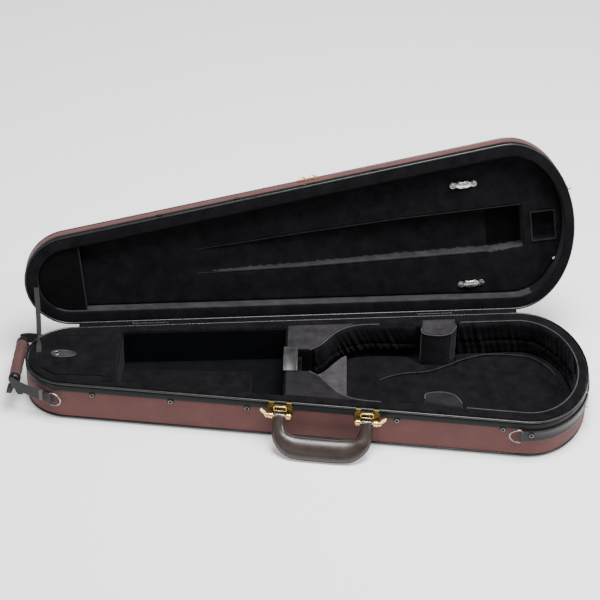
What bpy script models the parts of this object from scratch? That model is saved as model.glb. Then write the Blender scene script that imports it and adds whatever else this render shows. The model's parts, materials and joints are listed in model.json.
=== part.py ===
"""A shaped violin case, open: padded base, lid leaning back on its stay, handles, latches and bow fittings.

Lengths in this file are millimetres and are turned into Blender's metres where a mesh is made.
X runs along the case towards the big end, Y towards the hinges, Z up from the face it lies on.
Lid pieces are drawn in the closed position, then carried by the lid's pivot to the open one.
"""

from math import asin, cos, hypot, pi, radians, sin, tan

import bmesh
import bpy
from mathutils import Matrix, Vector

MM = 0.001

# ---- driving dimensions -------------------------------------------------
LENGTH = 790.0
BIG_HALF_WIDTH = 126.0
SMALL_RADIUS = 66.5
END_SQUASH = 0.716  # the big end's length over its half width
BASE_HEIGHT = 62.0
LID_SIDE = 34.0
LID_CROWN = 16.0
LID_OPEN = 105.0  # degrees from closed to resting on the stay
LID_SPLIT = 0.4  # gap between the two rims when closed
GAP = 0.3  # clearance between neighbouring pieces

FABRIC = 1.4
BEAD_RADIUS = 1.7
WALL = 3.2
FLANGE_INSET = 3.7
CAVITY_INSET = 20.0
FLOOR_TOP = 4.6
POCKET_FLOOR = 5.6
BAND_LOW = 48.7
LID_BAND_TOP = 13.0
CROWN_FLAT_INSET = 58.0

HINGE_OUT = 1.4  # hinge axis beyond the case's outline
HINGE_STATIONS = (110.0, 520.0)  # along the hinge edge from the small end's tangent point
HINGE_WIDTH = 50.0

DIVIDER_X = (-281.0, -265.0)
COMPARTMENT_X = (-264.7, -29.0)
NECK_HALF_WIDTH = 24.0
HEEL_PAD_X = (14.0, 57.0)
BLOCK_X = (163.5, 214.0)
PAD_DEPTH = 22.0  # lid rim to the lid pad's face
SUSPENSION = 8.0  # thickness of the gathered walls
SNUG = 0.4  # a soft piece's distance from the wall behind it

ARM_CENTRES = (302.0, 421.5)  # handle arms, along the front edge
PIVOT_Z = 44.5
PIVOT_OUT = 8.5
PIN_RADIUS = 1.75
BARREL_AT = 12.2  # bracket barrels either side of an arm's centre
BARREL_LENGTH = 6.4
LEVER_AT = 17.6
HANDLE_TILT = 44.0  # degrees from hanging straight down
HANDLE_REACH = 57.0  # pivot to the grip's outer edge
GRIP_HALF_DEPTH = 15.0

STRAP_STATION = 636.0  # where the big end's strap starts on the front edge
STRAP_Z = 39.4
STRAP_HALF_WIDTH = 9.0
RING_OUT = 3.6
RING_HALF_HEIGHT = 10.5
RING_REACH = 16.0
RING_BEARING = 249.0  # degrees round the small end to the left ring
LID_RING_STATION = 358.0
LID_RING_Z = 26.5  # above the lid's rim
SPINNER_SPOTS = ((241.5, -67.0), (242.0, 84.5))
GRIP_HINGE = (-364.0, 0.0, 38.0)
GRIP_ROLL_FROM_HINGE = (-41.5, 0.0, 12.0)
GRIP_HALF_LENGTH = 47.0

TAPER = asin(
    (BIG_HALF_WIDTH - SMALL_RADIUS)
    / (LENGTH - BIG_HALF_WIDTH * END_SQUASH - SMALL_RADIUS)
)
SMALL_X = SMALL_RADIUS - LENGTH / 2
BIG_X = LENGTH / 2 - BIG_HALF_WIDTH * END_SQUASH
LID_Z = BASE_HEIGHT + LID_SPLIT
HINGE_Z = BASE_HEIGHT + LID_SPLIT / 2

# colour, roughness, metallic
FINISHES = {
    "burgundy_fabric": ((0.19, 0.075, 0.07), 0.85, 0.0),
    "black_trim": ((0.012, 0.012, 0.013), 0.35, 0.0),
    "black_velvet": ((0.012, 0.011, 0.014), 1.0, 0.0),
    "blue_lining": ((0.02, 0.025, 0.035), 0.9, 0.0),
    "foam_shell": ((0.05, 0.05, 0.05), 0.8, 0.0),
    "brown_leather": ((0.045, 0.03, 0.025), 0.5, 0.0),
    "grey_leather": ((0.09, 0.09, 0.09), 0.45, 0.0),
    "black_webbing": ((0.02, 0.02, 0.02), 0.8, 0.0),
    "brass": ((0.75, 0.52, 0.2), 0.25, 1.0),
    "nickel": ((0.6, 0.6, 0.6), 0.2, 1.0),
}


# ---- scene helpers -------------------------------------------------------
def clear_scene():
    for thing in list(bpy.data.objects):
        bpy.data.objects.remove(thing)


def new_collection(name):
    group = bpy.data.collections.new(name)
    bpy.context.scene.collection.children.link(group)
    return group


def finish_material(slot):
    found = bpy.data.materials.get(slot)
    if found:
        return found
    colour, rough, metal = FINISHES[slot]
    made = bpy.data.materials.new(slot)
    made.use_nodes = True
    shader = made.node_tree.nodes["Principled BSDF"]
    shader.inputs["Base Color"].default_value = (*colour, 1.0)
    shader.inputs["Roughness"].default_value = rough
    shader.inputs["Metallic"].default_value = metal
    return made


def add_mesh(name, bm, slot, smooth=True):
    """An object in the case's collection from a bmesh whose faces may point either way."""
    bmesh.ops.recalc_face_normals(bm, faces=bm.faces)
    mesh = bpy.data.meshes.new(name)
    bm.to_mesh(mesh)
    bm.free()
    if smooth:
        mesh.shade_smooth()
        mesh.set_sharp_from_angle(angle=radians(35))
    mesh.materials.append(finish_material(slot))
    made = bpy.data.objects.new(name, mesh)
    CASE.objects.link(made)
    return made


def loft(name, loops, slot, closed=False):
    """Skin over equal-length loops of points; caps the ends unless the last loop joins the first."""
    bm = bmesh.new()
    rows = [[bm.verts.new([c * MM for c in point]) for point in loop] for loop in loops]
    count = len(rows[0])
    pairs = list(zip(rows, rows[1:]))
    if closed:
        pairs.append((rows[-1], rows[0]))
    for low, high in pairs:
        for i in range(count):
            j = (i + 1) % count
            bm.faces.new((low[i], low[j], high[j], high[i]))
    if not closed:
        bm.faces.new(rows[0][::-1])
        bm.faces.new(rows[-1])
    return add_mesh(name, bm, slot)


def prism(name, points, low, high, slot):
    return loft(name, [[(x, y, z) for x, y in points] for z in (low, high)], slot)


def cube(name, low, high, slot, soften=0.0):
    """A box between two corners, its edges rounded by a Bevel modifier."""
    bm = bmesh.new()
    bmesh.ops.create_cube(bm, size=1.0)
    size = [(b - a) * MM for a, b in zip(low, high)]
    middle = [(a + b) / 2 * MM for a, b in zip(low, high)]
    bmesh.ops.scale(bm, vec=size, verts=bm.verts)
    bmesh.ops.translate(bm, vec=middle, verts=bm.verts)
    made = add_mesh(name, bm, slot)
    if soften:
        add_bevel(made, soften, 2)
    return made


def cylinder(name, centre, axis, radius, length, slot, sides=16):
    bm = bmesh.new()
    bmesh.ops.create_cone(
        bm, cap_ends=True, segments=sides, radius1=radius * MM, radius2=radius * MM, depth=length * MM
    )
    turn = Vector((0, 0, 1)).rotation_difference(Vector(axis)).to_matrix().to_4x4()
    bmesh.ops.transform(bm, matrix=turn, verts=bm.verts)
    bmesh.ops.translate(bm, vec=[c * MM for c in centre], verts=bm.verts)
    return add_mesh(name, bm, slot)


def turned(name, profile, slot, sides=16):
    """A solid of revolution about Z from (radius, height) points, top to bottom; ends lie on the axis."""
    mesh = bpy.data.meshes.new(name)
    points = [(r * MM, 0.0, z * MM) for r, z in profile]
    mesh.from_pydata(points, [(i, i + 1) for i in range(len(points) - 1)], [])
    mesh.materials.append(finish_material(slot))
    made = bpy.data.objects.new(name, mesh)
    CASE.objects.link(made)
    screw = made.modifiers.new("turn", "SCREW")
    screw.angle = 2 * pi
    screw.steps = sides
    screw.render_steps = sides
    screw.use_merge_vertices = True
    screw.merge_threshold = 0.00001
    return made


def wire(name, points, radius, slot, closed=False):
    """A round wire along a list of points."""
    curve = bpy.data.curves.new(name, "CURVE")
    curve.dimensions = "3D"
    curve.bevel_depth = radius * MM
    curve.bevel_resolution = 2
    curve.use_fill_caps = True
    spline = curve.splines.new("POLY")
    spline.points.add(len(points) - 1)
    for slot_point, point in zip(spline.points, points):
        slot_point.co = (*[c * MM for c in point], 1.0)
    spline.use_cyclic_u = closed
    curve.materials.append(finish_material(slot))
    made = bpy.data.objects.new(name, curve)
    CASE.objects.link(made)
    return made


def add_bevel(thing, width, segments):
    bevel = thing.modifiers.new("round", "BEVEL")
    bevel.width = width * MM
    bevel.segments = segments
    bevel.limit_method = "ANGLE"
    bevel.angle_limit = radians(40)


def boolean(target, tool, operation):
    """Cut or join with another object, which becomes a hidden construction piece."""
    for group in list(tool.users_collection):
        group.objects.unlink(tool)
    TOOLS.objects.link(tool)
    tool.hide_render = True
    tool.display_type = "WIRE"
    change = target.modifiers.new(operation.lower(), "BOOLEAN")
    change.operation = operation
    change.object = tool
    change.solver = "EXACT"


def cut(target, tool):
    boolean(target, tool, "DIFFERENCE")


def join(target, tool):
    boolean(target, tool, "UNION")


def place(thing, matrix):
    """Move a piece drawn about its own origin to a place given in millimetres."""
    moved = matrix.copy()
    moved.translation = matrix.translation * MM
    thing.matrix_world = moved
    return thing


# ---- outline of the case ---------------------------------------------------
def side_y(x, inset):
    """Half width of the straight tapering side at x, moved in by inset."""
    return (SMALL_RADIUS - inset) / cos(TAPER) + (x - SMALL_X) * tan(TAPER)


def big_arc(inset, steps=24):
    """The big end from its front tangent point round to its back one."""
    sweep = pi + 2 * TAPER
    radius = BIG_HALF_WIDTH - inset
    points = []
    for k in range(steps + 1):
        angle = -sweep / 2 + sweep * k / steps
        stretch = END_SQUASH if cos(angle) > 0 else 1.0
        points.append((BIG_X + radius * stretch * cos(angle), radius * sin(angle)))
    return points


def small_arc(inset, steps=14):
    """The small end from its back tangent point round to its front one."""
    sweep = pi - 2 * TAPER
    radius = SMALL_RADIUS - inset
    angles = [pi / 2 + TAPER + sweep * k / steps for k in range(steps + 1)]
    return [(SMALL_X + radius * cos(a), radius * sin(a)) for a in angles]


def outline(inset):
    """Anticlockwise plan of the case, moved in by inset; the same number of points for any inset."""
    return big_arc(inset) + small_arc(inset)


def level(inset, z):
    return [(x, y, z) for x, y in outline(inset)]


def ring(name, section, slot):
    """A band round the case from a closed section of (inset, z) points."""
    return loft(name, [level(inset, z) for inset, z in section], slot, closed=True)


def tub(name, section, slot):
    """Stacked levels of the outline from (inset, z) points, closed by flat ends."""
    return loft(name, [level(inset, z) for inset, z in section], slot)


def bead(name, inset, z, slot):
    """Round piping that follows the outline."""
    turns = [2 * pi * k / 6 for k in range(6)]
    section = [(inset + BEAD_RADIUS * cos(t), z + BEAD_RADIUS * sin(t)) for t in turns]
    return ring(name, section, slot)


def blend(a, b, c, d, t):
    """Catmull-Rom value between b and c."""
    return b + ((c - a) * t + (2 * a - 5 * b + 4 * c - d) * t**2 + (3 * b - a - 3 * c + d) * t**3) / 2


def smooth_line(points, steps=5):
    """Catmull-Rom points through the given ones, the ends included."""
    ends = [points[0], *points, points[-1]]
    made = []
    for p0, p1, p2, p3 in zip(ends, ends[1:], ends[2:], ends[3:]):
        for k in range(steps):
            made.append(tuple(blend(*values, k / steps) for values in zip(p0, p1, p2, p3)))
    made.append(tuple(points[-1]))
    return made


def shift_line(points, distance):
    """An open plan line moved to its right-hand side by a distance."""
    moved = []
    for i, (x, y) in enumerate(points):
        x0, y0 = points[max(i - 1, 0)]
        x1, y1 = points[min(i + 1, len(points) - 1)]
        size = hypot(x1 - x0, y1 - y0)
        moved.append((x + distance * (y1 - y0) / size, y - distance * (x1 - x0) / size))
    return moved


def mirrored(points):
    return [(x, -y) for x, y in points]


def edge_frame(side, station, out, z):
    """Frame on a straight side: X along the edge, Z up. side is -1 in front, +1 at the hinges."""
    along = Vector((cos(TAPER), side * sin(TAPER), 0))
    outward = Vector((-sin(TAPER), side * cos(TAPER), 0))
    origin = Vector((SMALL_X, 0, z)) + outward * (SMALL_RADIUS + out) + along * station
    up = Vector((0, 0, 1))
    frame = Matrix((along, up.cross(along), up)).transposed().to_4x4()
    frame.translation = origin
    return frame


# ---- base: casing and covers -------------------------------------------------
def build_base_casing():
    outer = FABRIC + 0.8 + GAP
    inner = outer + WALL
    tub(
        "base_shell",
        [(3.9, 1.3), (3.9, 6.0), (outer, 6.0), (outer, 58.6), (inner, 58.6), (inner, FLOOR_TOP - GAP)],
        "foam_shell",
    )
    tub("base_bottom_cover", [(5.0, 0.0), (3.9, 0.4), (3.9, 1.0)], "burgundy_fabric")
    bead("base_bottom_piping", 1.9, 3.0, "black_trim")
    ring("base_side_cover", [(0.8, 5.9), (0.8, 48.4), (2.2, 48.4), (2.2, 5.9)], "burgundy_fabric")
    ring("base_rim_band", [(0.0, BAND_LOW), (0.0, 58.0), (2.2, 58.0), (2.2, BAND_LOW)], "black_trim")
    bead("base_rim_piping", BEAD_RADIUS, BASE_HEIGHT - BEAD_RADIUS, "black_trim")


# ---- base: velvet liner and what it holds ---------------------------------------
def upper_bout_line():
    """Back edge of the cavity from the neck slot to the waist."""
    shoulder = [(4, NECK_HALF_WIDTH), (19, 36), (33, 56), (48, 73)]
    return smooth_line(shoulder + [(72, 84.5), (112, 88.5), (162, 88)])


def waist_end():
    """Where the waist's edge meets the lower bout."""
    return (216, side_y(216, CAVITY_INSET))


def waist_wall(x):
    """Half width of the cavity at the waist."""
    (x0, y0), (x1, y1) = upper_bout_line()[-1], waist_end()
    return y0 + (y1 - y0) * (x - x0) / (x1 - x0)


def box_lid_outline(grow):
    """The accessory box's opening: a rectangle with its scroll-end corners cut off."""
    right = DIVIDER_X[0] + grow
    left, shoulder, half, nose = -369 - grow, -348, 44 + grow, 29 + grow * 0.6
    return [(right, -half), (right, half), (shoulder, half), (left, nose), (left, -nose), (shoulder, -half)]


def compartment_outline(grow):
    left, right = COMPARTMENT_X
    reach = [(left, -56), (right, -79), (right, 75), (left, 57)]
    middle = Vector(((left + right) / 2, 0))
    grown = []
    for x, y in reach:
        grown.append((x + grow * (1 if x > middle.x else -1), y + grow * (1 if y > 0 else -1)))
    return grown


def cavity_outline():
    """Neck slot and violin-shaped hollow in one plan line."""
    back = [(COMPARTMENT_X[1] - 1, NECK_HALF_WIDTH)] + upper_bout_line() + [waist_end()]
    return big_arc(CAVITY_INSET) + back[::-1] + mirrored(back)


def build_base_liner():
    liner = tub(
        "base_liner",
        [(6.2, FLOOR_TOP), (6.2, 58.9), (FLANGE_INSET, 58.9), (FLANGE_INSET, BASE_HEIGHT)],
        "black_velvet",
    )
    above = BASE_HEIGHT + 3
    cut(liner, prism("box_rebate_cutter", box_lid_outline(0.5), 57.4, above, "black_velvet"))
    cut(liner, prism("box_cutter", box_lid_outline(-4), POCKET_FLOOR, 60, "black_velvet"))
    left, right = DIVIDER_X[0] - 0.5, DIVIDER_X[1] + 0.6
    slot = [(left, -58), (right, -58), (right, 54), (left, 54)]
    cut(liner, prism("divider_cutter", slot, POCKET_FLOOR, above, "black_velvet"))
    cut(liner, prism("compartment_cutter", compartment_outline(0), POCKET_FLOOR, above, "black_velvet"))
    cut(liner, prism("cavity_cutter", cavity_outline(), POCKET_FLOOR, above, "black_velvet"))

    low, high = DIVIDER_X
    cube("divider_board", (low, -57.6, POCKET_FLOOR + GAP), (high, 53.6, BASE_HEIGHT), "black_velvet", 0.8)


def build_compartment():
    """A thin blue-black sheet lines the compartment; a low pad covers the scroll half of its floor."""
    lining = prism("compartment_lining", compartment_outline(-0.4), POCKET_FLOOR + GAP, 59.5, "blue_lining")
    hollow = prism("lining_cutter", compartment_outline(-1.9), POCKET_FLOOR + 1.6, 70, "blue_lining")
    cut(lining, hollow)
    # the wall towards the neck slot stays open for the neck cradle
    mouth = [(-40, -25), (-20, -25), (-20, 25), (-40, 25)]
    cut(lining, prism("neck_opening", mouth, 12, 70, "blue_lining"))
    left = COMPARTMENT_X[0] + 2.4
    pad = [(left, -53.5), (-78, -71), (-78, 27), (left, 24)]
    prism("compartment_floor_pad", pad, 7.6, 19, "black_velvet")


def build_neck_rest():
    """A notched foam cradle closes the neck slot under the strap."""
    x0, x1 = COMPARTMENT_X[1] + 0.4, -7.0
    half = NECK_HALF_WIDTH - GAP
    notch, top, low = 15.0, 50.0, POCKET_FLOOR + GAP
    dip = [(notch * cos(t), top - notch * sin(t)) for t in [pi * k / 8 for k in range(9)]]
    section = [(-half, low), (half, low), (half, top)] + dip + [(-half, top)]
    loft("neck_cradle", [[(x, y, z) for y, z in section] for x in (x0, x1)], "black_velvet")


def build_neck_strap():
    """A stiff leather strap arched over the neck slot, hinged at its back end."""
    span, width, thickness, steps = 54.0, 20.0, 2.2, 10
    hinge = Vector((-22.5, span / 2, BASE_HEIGHT + GAP + thickness / 2))
    under, over = [], []
    for k in range(steps + 1):
        arch = sin(pi * k / steps)
        under.append((-span * k / steps, 6.0 * arch - thickness / 2))
        over.append((-span * k / steps, 7.0 * arch + thickness / 2))
    section = under + over[::-1]
    loops = [[(x, y, z) for y, z in section] for x in (-width / 2, width / 2)]
    place(loft("neck_strap", loops, "grey_leather"), Matrix.Translation(hinge))


def build_cavity_floor():
    """The heel pad and the floor pad with the violin's shallow bed in it."""
    floor = POCKET_FLOOR + GAP
    upper = shift_line(upper_bout_line(), SUSPENSION + 0.8)
    heel_left, heel_right = HEEL_PAD_X
    side = [(x, y) for x, y in upper if heel_left < x < heel_right]
    heel = [(heel_left, side[0][1] - 2)] + side + [(heel_right, side[-1][1] + 1.5)]
    prism("heel_pad", heel + mirrored(heel)[::-1], floor, 20, "black_velvet")

    rest = [(x, y) for x, y in upper[:-2] if x > heel_right + 2]
    block_left, block_right = BLOCK_X[0] - 0.5, BLOCK_X[1] + 0.5
    inner = CAVITY_INSET + SUSPENSION + 0.9
    waist = [(block_left, 62), (block_right, 62), (waist_end()[0], side_y(waist_end()[0], inner))]
    back = [(heel_right + GAP, rest[0][1] - 2)] + rest + waist
    pad = prism("cavity_floor", big_arc(inner) + back[::-1] + mirrored(back), floor, 12, "black_velvet")
    bed_line = [(93, 0), (100, 20), (134, 38), (177, 46), (221, 72), (255, 87), (285, 89)]
    bed_half = smooth_line(bed_line, 4)
    end_turns = [pi / 2 - pi * k / 12 for k in range(1, 12)]
    bed_end = [(BIG_X + 60 * cos(t), 88 * sin(t)) for t in end_turns]
    bed = bed_half + bed_end + mirrored(bed_half)[::-1][:-1]
    cut(pad, prism("bed_cutter", bed[::-1], 8, 16, "black_velvet"))


def build_waist_blocks():
    """Padded blocks that hold the violin's waist from both sides."""
    x0, x1 = BLOCK_X
    face = smooth_line([(x0, 78), (165, 70), (175, 65.5), (192, 65), (206, 72), (x1, 86)], 4)
    plan = face + [(x1, waist_wall(x1) - SNUG), (x0, waist_wall(x0) - SNUG)]
    prism("waist_block_back", plan, POCKET_FLOOR + GAP, BASE_HEIGHT, "black_velvet")
    prism("waist_block_front", mirrored(plan), POCKET_FLOOR + GAP, BASE_HEIGHT, "black_velvet")


def build_suspension():
    """Gathered velvet walls round both bouts."""
    top = BASE_HEIGHT - 1.2
    ledge = 20.6
    line = [p for p in upper_bout_line() if p[0] > 8][:-1]
    strip = shift_line(line, SNUG) + shift_line(line, SUSPENSION)[::-1]
    prism("suspension_back", strip, ledge, top, "black_velvet")
    prism("suspension_front", mirrored(strip), ledge, top, "black_velvet")
    rows = []
    for inset in (CAVITY_INSET + SNUG, CAVITY_INSET + SUSPENSION):
        start = waist_end()[0] + 1
        rows.append([(start, -side_y(start, inset)), *big_arc(inset), (start, side_y(start, inset))])
    prism("suspension_lower", rows[0] + rows[1][::-1], POCKET_FLOOR + GAP, top, "black_velvet")


# ---- accessory box lid ------------------------------------------------------------
def build_box_lid():
    """Hinged along its top edge at the divider, pulled up by the leather tab near its scroll edge."""
    hinge = Vector((DIVIDER_X[0] - GAP, 0, BASE_HEIGHT + 0.1))
    plan = [(x - hinge.x - GAP, y) for x, y in box_lid_outline(0)]
    lid = prism("accessory_lid", plan, 57.9 - hinge.z, BASE_HEIGHT - hinge.z, "black_velvet")
    place(lid, Matrix.Translation(hinge))
    low = BASE_HEIGHT + GAP - hinge.z
    thickness, scroll_end, box_end = 1.8, -349.0, -331.0
    turns = [pi / 2 + pi * k / 6 for k in range(7)]
    left = [(scroll_end - hinge.x + 7.5 * cos(t), 7.5 * sin(t)) for t in turns]
    right = [(box_end - hinge.x - 7.0 * cos(t), -7.0 * sin(t)) for t in turns]
    tab = prism("box_pull_tab", left + right, low, low + thickness, "grey_leather")
    place(tab, Matrix.Translation(hinge))
    snap = turned("box_tab_snap", [(0, 1.5), (1.6, 1.4), (2.8, 0.7), (3.1, 0.0), (0, 0.0)], "nickel", 14)
    place(snap, Matrix.Translation(Vector((scroll_end - 0.5, 0, hinge.z + low + thickness + GAP))))


# ---- front handle, brackets and latches -----------------------------------------------
def handle_path():
    """Centre line, in the handle's plane, with half widths: (across, reach, half width)."""
    half = (ARM_CENTRES[1] - ARM_CENTRES[0]) / 2
    wide = GRIP_HALF_DEPTH
    grip = HANDLE_REACH - wide
    left = [(-half, 6.9, 7.2), (-half, 17, 8.4), (-half + 5, 30, 11), (-half + 18, grip - 2.5, 14.2)]
    middle = [(-half + 34, grip, wide), (0, grip + 0.3, wide), (half - 34, grip, wide)]
    return smooth_line(left + middle + [(-u, v, w) for u, v, w in left[::-1]], 3)


def handle_frame():
    """X on the pivot line, -Z through the grip, tilted out from the case's wall."""
    tilt = Matrix.Rotation(radians(-HANDLE_TILT), 4, "X")
    return edge_frame(-1, sum(ARM_CENTRES) / 2, PIVOT_OUT, PIVOT_Z) @ tilt


def build_handle():
    """Padded leather handle with a brass loop on the end of each arm."""
    path = handle_path()
    turns = [2 * pi * k / 12 for k in range(12)]
    loops = []
    for i, (u, v, w) in enumerate(path):
        u0, v0, _ = path[max(i - 1, 0)]
        u1, v1, _ = path[min(i + 1, len(path) - 1)]
        size = hypot(u1 - u0, v1 - v0)
        side_u, side_v = (v1 - v0) / size, -(u1 - u0) / size
        thick = 6.4 if w > 8 else 5.2
        loop = []
        for t in turns:
            reach = w * cos(t)
            loop.append((u + reach * side_u, thick * sin(t), -(v + reach * side_v)))
        loops.append(loop)
    frame = handle_frame()
    place(loft("carry_handle", loops, "brown_leather"), frame)
    for side, centre in zip(("left", "right"), ARM_CENTRES):
        spot = frame @ Matrix.Translation(Vector((centre - sum(ARM_CENTRES) / 2, 0, 0)))
        loop = cylinder(f"handle_loop_{side}", (0, 0, 0), (1, 0, 0), 3.6, 16, "brass")
        tongue = cube(f"loop_tongue_{side}", (-7, -1.6, -6.0), (7, 1.6, -2.4), "brass")
        bore = cylinder(f"loop_bore_{side}", (0, 0, 0), (1, 0, 0), PIN_RADIUS + GAP, 30, "brass")
        for part in (loop, tongue, bore):
            place(part, spot)
        join(loop, tongue)
        cut(loop, bore)


def build_bracket(side, centre):
    """Brass plate with two ears over the rim, and two barrels on posts that carry the pin."""
    frame = edge_frame(-1, centre, 0, 0)
    plate = cube(f"handle_bracket_{side}", (-20, -1.6, 40.5), (20, -GAP, 58.8), "brass")
    parts = []
    for n, u in enumerate((-BARREL_AT, BARREL_AT)):
        parts.append(cube(f"ear_{side}_{n}", (u - 3, -1.4, 55), (u + 3, -GAP, 61.4), "brass"))
        parts.append(cube(f"foot_{side}_{n}", (u - 2.8, -PIVOT_OUT, 42.6), (u + 2.8, -1.0, 46.4), "brass"))
        barrel_centre = (u, -PIVOT_OUT, PIVOT_Z)
        parts.append(cylinder(f"barrel_{side}_{n}", barrel_centre, (1, 0, 0), 4.4, BARREL_LENGTH, "brass"))
    for part in parts:
        place(part, frame)
        join(plate, part)
    bore_radius = PIN_RADIUS + GAP
    bore = cylinder(f"bracket_bore_{side}", (0, -PIVOT_OUT, PIVOT_Z), (1, 0, 0), bore_radius, 60, "brass")
    place(bore, frame)
    cut(plate, bore)
    place(plate, frame)


def build_latch(side, centre, outward):
    """The bracket's pin, and the latch lever that turns on its outer end."""
    frame = edge_frame(-1, centre, PIVOT_OUT, PIVOT_Z)
    pin = cylinder(f"handle_pin_{side}", (outward * 2.2, 0, 0), (1, 0, 0), PIN_RADIUS, 36.5, "brass")
    place(pin, frame)

    lever_frame = edge_frame(-1, centre + outward * LEVER_AT, PIVOT_OUT, PIVOT_Z)
    hub = cylinder(f"latch_lever_{side}", (0, 0, 0), (1, 0, 0), 3.6, 3.6, "brass")
    lean = Vector((outward * 0.5, -0.25, 1)).normalized()
    stick = cylinder(f"lever_stick_{side}", lean * 7.5, lean, 1.3, 12, "brass", 10)
    knob = ball(f"lever_knob_{side}", lean * 13.0, 2.5, "brass")
    bore = cylinder(f"lever_bore_{side}", (0, 0, 0), (1, 0, 0), PIN_RADIUS + GAP, 12, "brass")
    for part in (hub, stick, knob, bore):
        place(part, lever_frame)
    join(hub, stick)
    join(hub, knob)
    cut(hub, bore)


def ball(name, centre, radius, slot):
    bm = bmesh.new()
    bmesh.ops.create_uvsphere(bm, u_segments=10, v_segments=6, radius=radius * MM)
    bmesh.ops.translate(bm, vec=[c * MM for c in centre], verts=bm.verts)
    return add_mesh(name, bm, slot)


# ---- rings, straps and scroll-end grip --------------------------------------------------
def end_frame(degrees, out, z):
    """Frame on the small end's arc, its X along the wall towards the big end at the front."""
    turn = radians(degrees)
    outward = Vector((cos(turn), sin(turn), 0))
    along = Vector((-outward.y, outward.x, 0))
    up = Vector((0, 0, 1))
    frame = Matrix((along, up.cross(along), up)).transposed().to_4x4()
    frame.translation = Vector((SMALL_X, 0, z)) + outward * (SMALL_RADIUS + out)
    return frame


def build_ring(name, frame, reach_sign):
    """A D ring whose straight leg stands upright in a webbing loop on the wall."""
    turns = [pi / 2 - pi * k / 12 for k in range(13)]
    bow = [(reach_sign * (1.0 + RING_REACH * cos(t)), 0, RING_HALF_HEIGHT * sin(t)) for t in turns]
    leg = [(0, 0, -RING_HALF_HEIGHT), (0, 0, RING_HALF_HEIGHT)]
    place(wire(f"d_ring_{name}", leg + bow, 1.3, "nickel", closed=True), frame)
    loop = cylinder(f"ring_loop_{name}", (0, 0, 0), (0, 0, 1), 3.2, 16, "black_webbing", 12)
    bore = cylinder(f"ring_bore_{name}", (0, 0, 0), (0, 0, 1), PIN_RADIUS, 30, "black_webbing", 12)
    place(loop, frame)
    place(bore, frame)
    cut(loop, bore)


def build_strap_rings():
    """A ring at each end of the front wall; the right one's loop ends a strap round the big end."""
    build_ring("right", edge_frame(-1, STRAP_STATION - 4.4, RING_OUT, STRAP_Z), -1)
    build_ring("left", end_frame(RING_BEARING, RING_OUT, GRIP_HINGE[2] - 3), 1)
    start = edge_frame(-1, STRAP_STATION, 0, 0).translation.x
    path = [(start, -side_y(start, 0)), *big_arc(0)[1:-1], (start, side_y(start, 0))]
    plan = shift_line(path, SNUG) + shift_line(path, SNUG + 1.8)[::-1]
    prism("big_end_strap", plan, STRAP_Z - STRAP_HALF_WIDTH, STRAP_Z + STRAP_HALF_WIDTH, "black_webbing")


def build_grip():
    """Fabric roll on two webbing arms that swing at the scroll end."""
    hinge, to_roll = Vector(GRIP_HINGE), Vector(GRIP_ROLL_FROM_HINGE)
    half = GRIP_HALF_LENGTH
    profile = [(0, half), (6.0, half), (7.6, half - 3), (7.9, half - 12), (8.2, 0)]
    profile += [(r, -y) for r, y in profile[:-1][::-1]]
    roll = turned("grip_roll", profile, "burgundy_fabric", 18)
    place(roll, Matrix.Translation(hinge + to_roll) @ Matrix.Rotation(radians(90), 4, "X"))

    arm = smooth_line([(0, 62.2), (-8, 61.2), (-24, 58.5), (-36, 54.5), (-45, 49)], 3)
    half_width, half_thickness = 8.0, 0.9
    outer = shift_line(arm, -half_thickness)
    inner = shift_line(arm, half_thickness)
    for name, flip in (("grip_webbing_back", 1), ("grip_webbing_front", -1)):
        loops = []
        for (x0, y0), (x1, y1) in zip(outer, inner):
            middle = to_roll.z * min(1, max(0, x0 / to_roll.x))
            low, high = middle - half_width, middle + half_width
            y0, y1 = flip * y0, flip * y1
            loops.append([(x0, y0, low), (x1, y1, low), (x1, y1, high), (x0, y0, high)])
        place(loft(name, loops, "black_webbing"), Matrix.Translation(hinge))


# ---- lid -----------------------------------------------------------------------------
def crown(inset):
    """Rise of the lid's arched top above its side at an inset."""
    part = min(inset, CROWN_FLAT_INSET) / CROWN_FLAT_INSET
    return LID_CROWN * (1 - (1 - part) ** 3)


def arched(insets, drop):
    return [(inset, LID_SIDE + crown(inset) - drop) for inset in insets]


def build_lid():
    """All lid pieces are drawn closed, with z = 0 on the lid's rim."""
    steps = (3.9, 9, 20, 36, CROWN_FLAT_INSET)
    outer = FABRIC + 0.8 + GAP
    inner = outer + WALL
    pieces = [
        bead("lid_rim_piping", BEAD_RADIUS, BEAD_RADIUS, "black_trim"),
        ring("lid_rim_band", [(0, 4.0), (0, LID_BAND_TOP), (2.2, LID_BAND_TOP), (2.2, 4.0)], "black_trim"),
        ring("lid_side_cover", [(0.8, 13.3), (0.8, 30.6), (2.2, 30.6), (2.2, 13.3)], "burgundy_fabric"),
        bead("lid_top_piping", 1.9, 32.7, "black_trim"),
        tub("lid_top_cover", arched(steps[::-1], 1.0) + arched(steps, 0.0), "burgundy_fabric"),
    ]
    under = arched(steps, 1.0 + GAP)
    inside = arched([max(i, inner) for i in steps[::-1]], 1.0 + GAP + WALL)
    shell = [(inner, 3.6), (outer, 3.6), (outer, 30.4), (steps[0], 30.4)] + under
    pieces.append(tub("lid_shell", inside + shell, "foam_shell"))

    wall_top = LID_SIDE + crown(8) - 1.6 - 2 * GAP - WALL
    liner_section = [
        (FLANGE_INSET, 0.0),
        (FLANGE_INSET, 3.3),
        (6.2, 3.3),
        (6.2, LID_SIDE - 7.5),
        (9.5, wall_top),
        (19.4, wall_top),
        (19.4, 0.0),
    ]
    pieces.append(ring("lid_liner", liner_section, "black_velvet"))
    pieces.append(build_lid_pad())
    pieces.append(build_tip_pocket())
    return pieces + build_lid_trim()


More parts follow.
